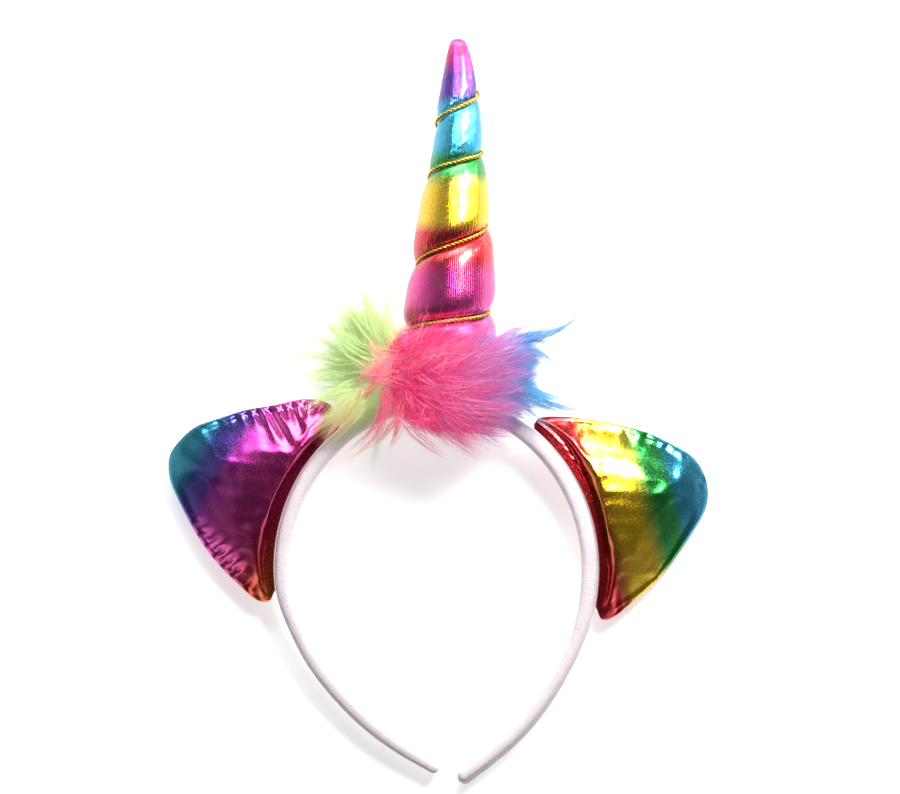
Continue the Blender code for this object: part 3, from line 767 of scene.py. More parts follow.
def groove(turns, height):
    """How far the cord pulls the horn in, at a place this many turns round and this high."""
    depth = np.zeros_like(height)
    for k in range(-2, 6):
        turn = turns - np.floor(turns) + k
        wound = np.clip((CORD_END_TURN - turn) / 0.25, 0, 1)
        wound = wound * np.clip((turn - CORD_START_TURN + 0.5) / 0.25, 0, 1)
        off = height - climb(turn)
        dip = CREASE_SHARE * np.exp(-(off / CREASE_WIDTH) ** 2)
        dip = dip + (1 - CREASE_SHARE) * np.exp(-(off / SHOULDER_WIDTH) ** 2)
        depth = np.maximum(depth, dip * wound)
    return depth * column(GROOVE_DEPTHS, 1, height / HORN_HEIGHT) * horn_outline(height)[0]


def horn_point(turns, height, stand_off=0.0):
    """A point on the horn's skin, or this far out from it."""
    turns, height = np.asarray(turns, float), np.asarray(height, float)
    radius, middle = horn_outline(height)
    radius = np.maximum(radius - groove(turns, height), 0.0) + stand_off
    x = middle + radius * np.sin(2 * math.pi * turns)
    lift = np.clip(1 - height / (0.25 * HORN_HEIGHT), 0, 1)
    y = HORN_FOOT_Y + height + (arch_top(x) + SEAT_GAP - HORN_FOOT_Y) * lift
    return np.stack([x, y, radius * np.cos(2 * math.pi * turns)], axis=-1)

# %% Pleats that the cord gathers
PLEAT_REACH_ABOVE = 0.0062
PLEAT_REACH_BELOW = 0.0030
PLEAT_HEIGHT = 0.00030
PLEAT_PITCH = 0.0042


def pleats(turns, height):
    """How far the gathered cloth stands out near the cord."""
    lift = np.zeros_like(height)
    radius = horn_outline(height)[0]
    for k in range(-1, 5):
        turn = turns - np.floor(turns) + k
        above = height - climb(turn)
        near = np.where(above > 0, np.exp(-above / PLEAT_REACH_ABOVE) * (1 - np.exp(-above / 0.0009)),
                        np.exp(above / PLEAT_REACH_BELOW) * (1 - np.exp(above / 0.0009)) * 0.6)
        wound = np.clip((CORD_END_TURN - turn) / 0.1, 0, 1) * np.clip((turn - CORD_START_TURN) / 0.1, 0, 1)
        run = turn * 2 * math.pi * radius / PLEAT_PITCH
        fold = np.sin(2 * math.pi * run + 2.1 * np.sin(1.7 * run + k) + 1.3 * np.sin(0.73 * run + 2 * k))
        strength = 0.55 + 0.45 * np.sin(0.9 * run + 3 * k)
        lift += near * wound * fold * strength
    return lift * PLEAT_HEIGHT


def gathered(turns, height):
    """1 just above the cord, where small pleats are deepest, falling to 0 away from it."""
    strength = np.zeros_like(height)
    for k in range(-1, 5):
        above = height - climb(turns + k)
        near = np.where(above > 0, np.exp(-above / 0.0032), np.exp(above / 0.0012) * 0.6)
        wound = np.clip((CORD_END_TURN - turns - k) / 0.1, 0, 1)
        wound = wound * np.clip((turns + k - CORD_START_TURN) / 0.1, 0, 1)
        strength = np.maximum(strength, near * wound)
    return strength

# %% [markdown]
# Blender's cloth simulation then does what stuffing does: the cord line and the seams are held and
# pressure fills the cloth.  The form is already drawn full, so it moves little.  It is run at ten times
# the size, where its defaults work best, and no point may move further than the cap.

# %% Stuff a piece with the cloth simulation
SIMULATED_SIZE = 10.0


def stuff(piece, held, pressure, most_move, frames=20):
    """Fills the piece with stuffing.  held is 1 where the cloth can't move."""
    before = spots_of(piece.data)
    big = piece.copy()
    big.data = piece.data.copy()
    bpy.context.collection.objects.link(big)
    move_to(big.data, before * SIMULATED_SIZE)
    group = big.vertex_groups.new(name="held")
    held = np.round(held, 1)
    for level in np.unique(held[held > 0]):
        group.add(np.flatnonzero(held == level).tolist(), float(level), "REPLACE")
    cloth = big.modifiers.new("stuffing", "CLOTH")
    cloth.settings.quality = 4
    cloth.settings.mass = 0.2
    cloth.settings.tension_stiffness = 12.0
    cloth.settings.compression_stiffness = 12.0
    cloth.settings.shear_stiffness = 4.0
    cloth.settings.bending_stiffness = 0.35
    cloth.settings.vertex_group_mass = "held"
    cloth.settings.pin_stiffness = 1.0
    cloth.settings.use_pressure = True
    cloth.settings.uniform_pressure_force = pressure
    cloth.settings.effector_weights.gravity = 0.0
    cloth.collision_settings.use_collision = False
    cloth.point_cache.frame_start, cloth.point_cache.frame_end = 1, frames
    for frame_number in range(1, frames + 1):
        bpy.context.scene.frame_set(frame_number)
    graph = bpy.context.evaluated_depsgraph_get()
    moved = spots_of(big.evaluated_get(graph).data) / SIMULATED_SIZE - before
    length = np.linalg.norm(moved, axis=1)
    moved *= (np.minimum(length, most_move) / np.maximum(length, 1e-9))[:, None]
    new = before + moved
    new[:, 2] = np.maximum(new[:, 2], 0.0)
    move_to(piece.data, new)
    mesh = big.data
    bpy.data.objects.remove(big)
    bpy.data.meshes.remove(mesh)
    bpy.context.scene.frame_set(1)
    length = np.linalg.norm(new - before, axis=1)
    print(piece.name, "filled out by", round(float(length.mean()) * 1000, 3), "mm on average,",
          round(float(length.max()) * 1000, 2), "at most")


def smoothed(piece):
    """One more level of smooth faces."""
    modifier = piece.modifiers.new("smooth", "SUBSURF")
    modifier.levels = modifier.render_levels = 1
    return evaluated_mesh(piece, piece.name)

# %% Make the horn
HORN_RINGS = 168
TIP_RINGS = 12
TIP_FROM = 0.975
HORN_AROUND = 100
FOOT_SHARES = (0.85, 0.6, 0.35, 0.12)


def make_horn():
    """The stuffed horn as rings from under its foot to its tip."""
    tip = TIP_FROM + (1 - TIP_FROM) * np.sin(np.linspace(0, math.pi / 2, TIP_RINGS + 1))
    shares = np.concatenate([np.linspace(0, TIP_FROM, HORN_RINGS)[:-1], tip[:-1]])
    turns, heights = np.meshgrid(np.arange(HORN_AROUND) / HORN_AROUND, shares * HORN_HEIGHT)
    skin = horn_point(turns, heights, pleats(turns, heights))
    rings = []
    for share in FOOT_SHARES[::-1]:
        ring = skin[0].copy()
        ring[:, 0] = HORN_FOOT_OFFSET + (ring[:, 0] - HORN_FOOT_OFFSET) * share
        ring[:, 2] *= share
        ring[:, 1] = arch_top(ring[:, 0]) + SEAT_GAP
        rings.append(ring)
    points = np.concatenate([np.array(rings), skin]).reshape(-1, 3)
    rows = len(FOOT_SHARES) + len(shares)
    faces, corners = grid_faces(rows, HORN_AROUND, closed=True)
    top_point = horn_point(np.array([0.0]), np.array([HORN_HEIGHT]))[0]
    foot_point = np.array([HORN_FOOT_OFFSET, float(arch_top(HORN_FOOT_OFFSET)) + SEAT_GAP, 0.0])
    points = np.concatenate([points, [foot_point, top_point]])
    heights = np.concatenate([np.zeros(len(FOOT_SHARES)), shares])
    wrap = np.stack([corners[..., 1] / HORN_AROUND, heights[corners[..., 0]]], axis=-1)
    faces, wrap = faces.tolist(), wrap.reshape(-1, 2).tolist()
    last = (rows - 1) * HORN_AROUND
    for c in range(HORN_AROUND):
        after = (c + 1) % HORN_AROUND
        faces.append([len(points) - 2, after, c])
        faces.append([len(points) - 1, last + c, last + after])
        wrap += [[(c + 0.5) / HORN_AROUND, 0.0], [(c + 1) / HORN_AROUND, 0.0], [c / HORN_AROUND, 0.0]]
        wrap += [[(c + 0.5) / HORN_AROUND, 1.0], [c / HORN_AROUND, 1.0], [(c + 1) / HORN_AROUND, 1.0]]
    horn = mesh_piece("foil_horn", laid(points), faces, horn_foil, wrap)
    turns = np.concatenate([np.tile(np.arange(HORN_AROUND) / HORN_AROUND, rows), [0.0, 0.0]])
    up = np.concatenate([np.repeat(heights, HORN_AROUND), [0.0, 1.0]]) * HORN_HEIGHT
    return horn, turns, up


horn, horn_turns, horn_heights = make_horn()
nearest = np.min([abs(horn_heights - climb(horn_turns + k)) for k in range(-1, 5)], axis=0)
horn_held = np.clip(1.25 - nearest / 0.0012, 0, 1)
horn_held[horn_heights < 0.004] = 1.0
give_attribute(horn, "gather", gathered(horn_turns, horn_heights))
horn_held[horn_heights > HORN_HEIGHT * 0.985] = 1.0
stuff(horn, horn_held, pressure=3.0, most_move=0.0016)
horn = smoothed(horn)
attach(horn, "root")
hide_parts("horn")
print("foil horn:", triangles_in(horn), "triangles")

# %% [markdown]
# The cord is two metal-wrapped yarns twisted together.  A geometry tree carries a two-lobed
# section along the path and turns it as it goes, which is how the twist is made in a rope works.

# %% Gold thread finish
thread, nodes, shader = new_finish("gold_thread_twist")
here = nodes.add("ShaderNodeTexCoord", out=3)
strands = nodes.noise(here, 5200.0, 2.0)
tone = nodes.noise(here, 700.0, 2.0)
gilt = nodes.mix(tone.part(0.35, 0.65), opaque((0.80, 0.44, 0.03)), opaque((1.0, 0.76, 0.18)))
gilt = nodes.mix((1 - strands.part(0.30, 0.55)) * 0.6, gilt, opaque((0.16, 0.06, 0.01)))
# The valleys between the two yarns are painted dark: painted shade.
valley = nodes.add("ShaderNodeAttribute", {"attribute_name": "valley"}, out=2)
gilt = nodes.mix(valley.part(0.20, 0.80) * 0.9, gilt, opaque((0.20, 0.07, 0.005)))
join(nodes, gilt, shader.inputs["Base Color"])
join(nodes, strands * 0.25 + 0.18, shader.inputs["Roughness"])
shader.inputs["Metallic"].default_value = 1.0
bump = nodes.add("ShaderNodeBump", {}, {"Strength": 0.45, "Distance": 0.00008, "Height": strands})
join(nodes, bump, shader.inputs["Normal"])

# %% Wind the gold cord
CORD_STEPS = 1250
TWIST = {"Cord radius": 0.00074, "Twist pitch": 0.0036, "Lobe depth": 0.52}
cord_turns = np.linspace(CORD_START_TURN, CORD_END_TURN, CORD_STEPS)
cord_line = horn_point(cord_turns, climb(cord_turns), CORD_DIAMETER / 2 + SEAT_GAP + CORD_DIAMETER / 4)
cord_line = laid(cord_line)
cord = mesh_piece("twisted_cord", cord_line, edges=[(i, i + 1) for i in range(CORD_STEPS - 1)])
tree, nodes, inputs = new_growth("twisted_yarns", TWIST)
path = nodes.add("GeometryNodeMeshToCurve", {}, {"Mesh": inputs["Geometry"]})
walked = nodes.add("GeometryNodeSplineParameter", out=1)
path = nodes.add("GeometryNodeSetCurveTilt", {}, {
    "Curve": path, "Tilt": walked / inputs["Twist pitch"] * (2 * math.pi)})
section = nodes.add("GeometryNodeCurvePrimitiveCircle", {}, {"Resolution": 14, "Radius": 1.0})
around = nodes.add("ShaderNodeSeparateXYZ", {}, {0: nodes.add("GeometryNodeInputPosition")})
angle = nodes.add("ShaderNodeMath", {"operation": "ARCTAN2"}, {
    0: Wire(nodes, around.socket.node.outputs[1]), 1: around})
swell = angle.sin().size()
lobes = (swell - 1) * inputs["Lobe depth"] + 1
# Each point of the section keeps how deep in a valley it lies, for the finish's painted shade.
section = nodes.add("GeometryNodeStoreNamedAttribute", {"data_type": "FLOAT"},
                    {"Geometry": section, "Name": "valley", "Value": 1 - swell})
shaped = nodes.add("ShaderNodeVectorMath", {"operation": "SCALE"}, {
    0: nodes.add("GeometryNodeInputPosition"), "Scale": lobes * inputs["Cord radius"]})
section = nodes.add("GeometryNodeSetPosition", {}, {"Geometry": section, "Position": shaped})
rope = nodes.add("GeometryNodeCurveToMesh", {}, {"Curve": path, "Profile Curve": section, "Fill Caps": True})
end_growth(nodes, rope, thread)
cord = grown(cord, tree, TWIST)
cord.data.shade_smooth()
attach(cord, "root")
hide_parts("gold_cord")
print("twisted cord:", triangles_in(cord), "triangles,", round(lengths_along(cord_line)[-1], 3), "m of cord")

# %% [markdown]
# Each ear is two foil panels sewn round the free edge and stuffed.  Along the band the front panel is
# folded flat and glued, which leaves a narrow hem with a crease behind it, and the full pad bulges
# over that crease.  The seam is shorter than the cloth, so the edge puckers.

# %% The ears' outline and their rainbow
def ear_edge(side, steps):
    """The line where an ear sits on the band, and its free edge."""
    span, reach, edge = (
        (LEFT_EAR_SPAN, LEFT_EAR_REACH, LEFT_EAR_EDGE) if side < 0
        else (RIGHT_EAR_SPAN, RIGHT_EAR_REACH, RIGHT_EAR_EDGE)
    )
    middle, _, outward, thickness, _, _ = band_frames(side * np.linspace(*span, steps + 1))
    seat = middle + outward * (thickness / 2 + SEAT_GAP)[:, None]
    chord = seat[-1] - seat[0]
    away = unit(np.array([side * -chord[1], side * chord[0], 0.0]))
    corners = np.array([seat[0] + chord * down + away * reach * out for down, out in edge])
    along = lengths_along(corners)
    return seat, spline(along, corners, np.linspace(0, along[-1], steps + 1))


def rainbow_across(way, start, width):
    """A rainbow in straight stripes across an ear, for foil_finish."""
    def place(nodes, here):
        along = nodes.add("ShaderNodeVectorMath", {"operation": "DOT_PRODUCT"}, {0: here, 1: way}, out=1)
        return (along - start) / width
    return place


def ear_knit(nodes, here):
    """The ears' knit, too fine to see except where it catches the light."""
    return (wrap_part(nodes, 0) * (2 * math.pi * 330)).sin() * 0.10


LEFT_EAR_COLOURS = [
    (0.00, (0.03, 0.34, 0.44)), (0.13, (0.02, 0.26, 0.40)), (0.21, (0.05, 0.07, 0.34)),
    (0.31, (0.13, 0.04, 0.32)), (0.37, (0.42, 0.03, 0.34)), (0.50, (0.62, 0.05, 0.32)),
    (0.70, (0.58, 0.03, 0.20)), (0.78, (0.52, 0.02, 0.06)), (0.87, (0.64, 0.05, 0.02)),
    (0.97, (0.72, 0.15, 0.02)),
]
RIGHT_EAR_COLOURS = [
    (0.00, RED), (0.23, RED), (0.29, (0.60, 0.24, 0.02)), (0.35, GOLD), (0.48, GOLD),
    (0.55, (0.24, 0.38, 0.04)), (0.60, GREEN), (0.69, GREEN), (0.77, (0.03, 0.30, 0.48)),
    (0.95, (0.07, 0.44, 0.66)),
]
EAR_FOIL = {"dull": (0.15, 0.30), "fleck": 0.12, "grainy": 0.60, "relief": 0.34, "coat": 0.80}
left_print = rainbow_across((0.8645, -0.5026, 0.0), -0.0858, 0.0654)
right_print = rainbow_across((0.9627, 0.2708, 0.0), 0.0355, 0.0652)
left_foil = foil_finish("left_ear_foil", LEFT_EAR_COLOURS, left_print, ear_knit, **EAR_FOIL)
right_foil = foil_finish("right_ear_foil", RIGHT_EAR_COLOURS, right_print, ear_knit, **EAR_FOIL)

# %% Shape of the pads
EAR_ALONG = 124
EAR_HEM_SHARE = 0.12
EAR_OUT = np.concatenate([
    np.linspace(0, EAR_HEM_SHARE, 14)[:-1],
    EAR_HEM_SHARE + (1 - EAR_HEM_SHARE) * np.sin(np.linspace(0, math.pi / 2, 30))])
EAR_PROFILE = [
    (0.0, 0.58), (0.02, 0.66), (0.045, 0.79), (0.08, 0.89), (0.14, 0.95), (0.26, 0.99), (0.42, 1.00),
    (0.58, 0.93), (0.74, 0.75), (0.87, 0.48), (0.95, 0.20), (1.0, 0.0),
]
# Folds that the seam gathers: share of the way round the edge, turn in degrees towards the lower corner,
# length, width and depth in millimetres
LEFT_FOLDS = [
    (0.050, 25, 7, 1.1, 0.7), (0.088, 14, 9, 1.2, 0.9), (0.125, 8, 11, 1.2, 1.0),
    (0.158, -6, 16, 1.3, 1.1), (0.185, -14, 8, 1.0, 0.7), (0.218, -22, 24, 1.6, 1.5),
    (0.250, -20, 10, 1.2, 1.0), (0.275, -12, 7, 1.1, 0.8), (0.305, -8, 6, 1.0, 0.5),
    (0.350, 0, 5, 1.2, 0.3), (0.690, 6, 7, 1.1, 0.7), (0.722, 10, 8, 1.1, 1.1),
    (0.755, 6, 10, 1.1, 1.3), (0.788, 4, 12, 1.2, 1.9), (0.822, 2, 12, 1.2, 1.9),
    (0.856, 0, 11, 1.2, 1.9), (0.905, -8, 9, 1.3, 1.6), (0.948, -10, 6, 1.2, 0.9),
]
RIGHT_FOLDS = [
    (0.110, 0, 6, 1.6, 0.3), (0.165, 6, 6, 1.5, 0.4), (0.248, 22, 11, 1.8, 0.5), (0.312, -22, 9, 1.6, 0.7),
    (0.365, 0, 5, 1.2, 0.5), (0.420, 10, 5, 1.1, 0.4), (0.500, 0, 4, 1.2, 0.4), (0.800, 0, 6, 2.0, 0.3),
    (0.900, -25, 12, 1.5, 0.5), (0.930, -30, 15, 1.4, 0.5),
]
# Share of the way down the band, width of the glued hem
LEFT_HEM = [(0.0, 0.0012), (0.12, 0.0020), (0.35, 0.0026), (0.60, 0.0034), (0.80, 0.0042), (1.0, 0.0038)]
RIGHT_HEM = [(0.0, 0.0040), (0.15, 0.0048), (0.35, 0.0040), (0.60, 0.0028), (0.80, 0.0038), (1.0, 0.0034)]
HEM_HEIGHT_SHARE = 0.34
HEM_BLEND = 0.0024
CREASE_DEPTH = 0.0006
WELT_HEIGHT = 0.00016
# Near the seam the front rises no steeper than this
RIM_SLOPE = 0.66
RIM_BLEND = 0.0022


def ease(value):
    """0 to 1 with soft ends."""
    value = np.clip(value, 0, 1)
    return value * value * (3 - 2 * value)


def ear_panels(side, wander):
    """Front and back of an ear as grids of points, from the upper corner down and from the band out."""
    seat, edge = ear_edge(side, EAR_ALONG)
    share = np.linspace(0, 1, EAR_ALONG + 1)[:, None]
    out = EAR_OUT[None, :]
    grid = seat[:, None] * (1 - out[..., None]) + edge[:, None] * out[..., None]
    distance = np.linalg.norm(grid - seat[:, None], axis=2)
    full = np.sin(np.clip(math.pi * share, 0, math.pi)) ** EAR_CORNER_TAPER
    profile = np.array(EAR_PROFILE)
    profile = spline(profile[:, 0], profile[:, 1], out.ravel()).reshape(1, -1)
    half = EAR_THICKNESS / 2 * profile * full
    x, y = grid[..., 0], grid[..., 1]
    uneven = 0.022 * np.sin(290 * x + wander) * np.sin(240 * y + 2 * wander)
    uneven = uneven + 0.014 * np.sin(520 * (x + y) + 3 * wander) * np.sin(430 * (x - y))
    front = half * (1 + uneven * np.clip(out / 0.2, 0, 1))
    to_edge = np.linalg.norm(grid[:, :, None] - edge[None, None], axis=3).min(axis=2)
    slope_limit = RIM_SLOPE * to_edge + 0.00005
    blend = np.clip(0.30 * slope_limit, 0.0002, RIM_BLEND)
    lower = np.minimum(front, slope_limit)
    front = lower - blend * np.log1p(np.exp(-abs(front - slope_limit) / blend))
    front = np.maximum(front, 0.0)
    back = half.copy()
    hem = column(LEFT_HEM if side < 0 else RIGHT_HEM, 1, share.ravel())[:, None]
    rise = ease((distance - hem) / HEM_BLEND)
    crease = CREASE_DEPTH * np.exp(-((distance - hem * 1.04) / 0.0006) ** 2) * np.minimum(full * 1.5, 1)
    broken = ease(0.5 + 0.9 * np.sin(share * 150) * np.sin(share * 67 + 1))
    welt = WELT_HEIGHT * np.exp(-((distance - hem * 0.82) / 0.00045) ** 2) * (0.35 + 0.65 * broken)
    low = EAR_THICKNESS / 2 * HEM_HEIGHT_SHARE * full
    front = front * rise + (low + welt) * (1 - rise) - crease
    front[:, -1] = 0.0
    front[[0, -1]] = 0.0
    back[[0, -1]] = 0.0
    half_way = EAR_ALONG // 2
    belly = np.linalg.norm(edge[half_way] - seat[half_way]) * EAR_BELLY
    middle_y = (seat[0][1] + seat[-1][1]) / 2
    droop = (table_below(middle_y) - EAR_THICKNESS / 2 + EAR_PRESS) / belly * distance
    grids = []
    for height in (front, -back):
        points = grid.copy()
        points[..., 2] = height - droop
        grids.append(points)
    return grids


def seam_folds(side, grid):
    """How far the sewing thread pulls the cloth in at each point of an ear's panel."""
    edge = grid[:, -1, :2]
    along = lengths_along(edge)
    along = along / along[-1]
    centre = grid[..., :2].mean(axis=(0, 1))
    pull = np.zeros(grid.shape[:2])
    for place, turn, length, width, depth in LEFT_FOLDS if side < 0 else RIGHT_FOLDS:
        start = np.array([np.interp(place, along, edge[:, k]) for k in (0, 1)])
        ahead = np.array([np.interp(place + 0.01, along, edge[:, k]) for k in (0, 1)])
        run = unit(ahead - start)
        inward = np.array([-run[1], run[0]])
        inward = inward if inward @ (centre - start) > 0 else -inward
        turned = math.radians(turn)
        way = inward * math.cos(turned) + run * math.sin(turned)
        off = grid[..., :2] - start
        deep = off @ way
        aside = off @ np.array([-way[1], way[0]])
        wide = width * MM * (0.75 + 0.5 * np.clip(deep / (length * MM), 0, 1))
        fade = ease(deep / (1.5 * MM)) * (1 - ease((deep - 0.25 * length * MM) / (0.75 * length * MM)))
        valley = np.exp(-(aside / wide) ** 2) - 0.45 * np.exp(-((abs(aside) - 1.9 * wide) / wide) ** 2)
        pull += depth * MM * fade * valley
    share = along[:, None]
    from_edge = np.linalg.norm(grid[:, :, None, :2] - edge[None, None], axis=3).min(axis=2)
    pull = np.minimum(pull, 0.5 * from_edge)
    small = np.sin(2 * math.pi * (share * 58 + 0.7 * np.sin(share * 23)))
    pull += 0.00012 * small * ease(from_edge / 0.0008) * np.exp(-from_edge / 0.0022)
    return pull

# %% Sew and stuff the ears
def make_ear(name, side, finish, wander):
    """An ear as one closed pad: front and back meet at the free edge and the corners."""
    front, back = ear_panels(side, wander)
    rows, columns = front.shape[:2]
    number = np.arange(rows * columns).reshape(rows, columns)
    behind = number + rows * columns
    behind[:, -1] = number[:, -1]
    behind[[0, -1]] = number[[0, -1]]
    faces, wrap = [], []
    spots = np.concatenate([front.reshape(-1, 3), back.reshape(-1, 3)])

    def corner(i, j):
        return (i / (rows - 1), float(EAR_OUT[j]))

    for table_of, flip in ((number, side > 0), (behind, side < 0)):
        for i in range(rows - 1):
            for j in range(columns - 1):
                ring = [(i, j), (i + 1, j), (i + 1, j + 1), (i, j + 1)]
                ring = ring[::-1] if flip else ring
                faces.append([int(table_of[a, b]) for a, b in ring])
                wrap += [corner(a, b) for a, b in ring]
    for i in range(rows - 1):
        ring = [(number, i), (behind, i), (behind, i + 1), (number, i + 1)]
        ring = ring[::-1] if side > 0 else ring
        face = list(dict.fromkeys(int(where[a, 0]) for where, a in ring))
        faces.append(face)
        wrap += [corner(i, 0)] * len(face)
    kept = np.unique(np.concatenate([np.array(face) for face in faces]))
    again = np.full(len(spots), -1)
    again[kept] = np.arange(len(kept))
    clean, clean_wrap, at = [], [], 0
    for face in faces:
        ring = [int(again[k]) for k in face]
        uvs = wrap[at:at + len(face)]
        at += len(face)
        firsts = [k for k in range(len(ring)) if ring[k] not in ring[:k]]
        if len(firsts) > 2:
            clean.append([ring[k] for k in firsts])
            clean_wrap += [uvs[k] for k in firsts]
    ear = mesh_piece(name, laid(spots[kept]), clean, finish, clean_wrap)
    share_out = np.tile(np.tile(EAR_OUT, rows), 2)[kept]
    share_down = np.tile(np.repeat(np.arange(rows) / (rows - 1), columns), 2)[kept]
    distance = np.tile(np.linalg.norm(front - front[:, :1], axis=2).ravel(), 2)[kept]
    held = np.maximum.reduce([
        np.clip(1.3 - distance / 0.0055, 0, 1), np.clip(1.4 - (1 - share_out) / 0.05, 0, 1),
        np.clip(1.2 - share_down / 0.02, 0, 1), np.clip(1.2 - (1 - share_down) / 0.02, 0, 1),
    ])
    pull = seam_folds(side, front)
    pull[:, -1] = 0.0
    pull[[0, -1]] = 0.0
    pull *= ease(np.linalg.norm(front - front[:, :1], axis=2) / 0.006)
    pull = np.concatenate([-pull.ravel(), pull.ravel() * 0.6])[kept]
    return ear, held, pull


def press_in(piece, amount):
    """Moves each point up or down by its own amount, but never below the table."""
    spots = spots_of(piece.data)
    spots[:, 2] = np.maximum(spots[:, 2] + amount, 0.0)
    move_to(piece.data, spots)


for name, node, slot_name, side, finish, wander in (
    ("foil_ear_left", "ear_left", "rainbow_foil_left_ear", -1, left_foil, 1.3),
    ("foil_ear_right", "ear_right", "rainbow_foil_right_ear", 1, right_foil, 2.2),
):
    ear, held, pull = make_ear(name, side, finish, wander)
    stuff(ear, held, pressure=0.2, most_move=0.0006)
    press_in(ear, pull)
    ear = smoothed(ear)
    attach(ear, "root")
    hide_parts(node)
    print(name, triangles_in(ear), "triangles")

# %% [markdown]
# The fur is long acrylic pile on a strip of backing, dyed from lime through pink to lilac and blue, and
# combed away from a parting left of the horn.  Each hair is its own thin tapered tube.  Hairs are drawn
# in clumps whose tips come together, as real pile does, over a dense undercoat that hides the backing.

# %% Fur finish
FUR_COLOURS = [
    (0.00, (0.50, 0.76, 0.26)), (0.22, (0.60, 0.78, 0.28)), (0.28, (0.93, 0.60, 0.30)),
    (0.35, (0.95, 0.28, 0.30)), (0.44, (0.97, 0.045, 0.25)), (0.56, (0.90, 0.13, 0.40)),
    (0.66, (0.68, 0.22, 0.55)), (0.80, (0.50, 0.25, 0.62)), (0.87, (0.16, 0.36, 0.76)),
    (1.00, (0.08, 0.50, 0.78)),
]


def fur_finish(name, depth):
    """Dyed pile: hue and shade come with each hair.  Low shade is painted as shadow, high shade as a painted
    highlight, and the hair glows faintly in its own colour as painted light.
    """
    finish, nodes, shader = new_finish(name)
    here = nodes.add("ShaderNodeTexCoord", out=3)
    hue = nodes.add("ShaderNodeAttribute", {"attribute_name": "hue"}, out=2)
    shade = nodes.add("ShaderNodeAttribute", {"attribute_name": "shade"}, out=2)
    streak = nodes.noise(here, 900.0, 2.0)
    colour = nodes.add("ShaderNodeValToRGB", {"stops": FUR_COLOURS}, {0: hue + (streak - 0.5) * 0.05})
    # Darker hairs: painted shadow, deeper on the undercoat.
    colour = nodes.mix((1 - shade.part(0.15, 0.60)) * depth, colour, opaque((0.30, 0.01, 0.10)))
    # The palest hairs: painted highlight.
    colour = nodes.mix(shade.part(0.66, 0.95) * 0.55, colour, opaque((1.0, 0.86, 0.92)))
    join(nodes, colour, shader.inputs["Base Color"])
    # The hairs glow faintly in their own colour: painted light in place of light passing through them.
    join(nodes, colour, shader.inputs["Emission Color"])
    set_inputs(shader, {
        "Emission Strength": 0.12, "Roughness": 0.55, "Specular IOR Level": 0.25, "Sheen Weight": 0.25,
    })
    return finish


hair_finish = fur_finish("dyed_pile_painted_light", 0.38)
# The undercoat takes more painted shadow, for the shade under the hair.
undercoat_finish = fur_finish("dyed_undercoat_painted_shade", 0.60)

# %% Where the fur grows and which way it is combed
PARTING = np.array([-0.0225, 0.0830])
INNER_RADIUS = HORN_RADIUS + SEAT_GAP
# Place across the collar from left to right, dye from lime (0) to blue (1)
DYE = [(-0.0250, 0.03), (-0.0230, 0.10), (-0.0212, 0.22), (-0.0195, 0.36), (-0.0170, 0.43), (-0.006, 0.46),
       (0.005, 0.55), (0.011, 0.68), (0.016, 0.77), (0.021, 0.83), (0.026, 0.90), (0.031, 0.98)]


def collar_skin(degrees, turn, depth):
    """A point of the collar and its normal: degrees round the horn, turn from -90 (lower edge) to 90."""
    a, t = np.radians(degrees), np.radians(turn)
    lower, upper, thick = (column(FUR_COLLAR, k, degrees) for k in (1, 2, 3))
    y = HORN_FOOT_Y + COLLAR_HEIGHT * ((upper + lower) / 2 + (upper - lower) / 2 * np.sin(t))
    r = INNER_RADIUS + thick * COLLAR_THICKNESS * depth * (0.35 + 0.65 * np.cos(t))
    middle = horn_outline(np.maximum(y - HORN_FOOT_Y, 0.0))[1]
    point = np.stack([middle + r * np.sin(a), y, r * np.cos(a)], axis=-1)
    return point, np.stack([np.sin(a) * np.cos(t), np.sin(t), np.cos(a) * np.cos(t)], axis=-1)


def combed_way(root, lime=False):
    """Direction, length and upward curl of the hair at each root."""
    x, y = root[:, 0], root[:, 1] - PARTING[1]
    to_right = ease((x + 0.0222) / 0.003) * (0.0 if lime else 1.0)
    up = np.clip((y + 0.003) / 0.026, -0.75, 0.30)
    up = up - 0.55 * ease((y - 0.006) / 0.006) * (1 - ease((x + 0.004) / 0.012))
    up = up + 0.50 * ease((x - 0.010) / 0.012) * ease((y - 0.001) / 0.010)
    right = np.stack([np.ones_like(x), up, np.zeros_like(x)], 1)
    left = np.stack([-np.ones_like(x), np.clip(0.15 + y / 0.012, -1.7, 2.4), np.zeros_like(x)], 1)
    way = unit(unit(left) * (1 - to_right[:, None]) + unit(right) * to_right[:, None])
    length = 0.022 * (1 - to_right) + (0.023 - 0.012 * ease((x - 0.006) / 0.026)) * to_right
    length = length * (1 - 0.55 * ease((y - 0.006) / 0.006) * (1 - ease(x / 0.012)) * to_right)
    curl = np.where(y < 0, 0.24, -0.06) * to_right
    return way, length, curl

# %% Comb clumps of hair
chance = np.random.default_rng(11)
HAIR_STEPS = 5


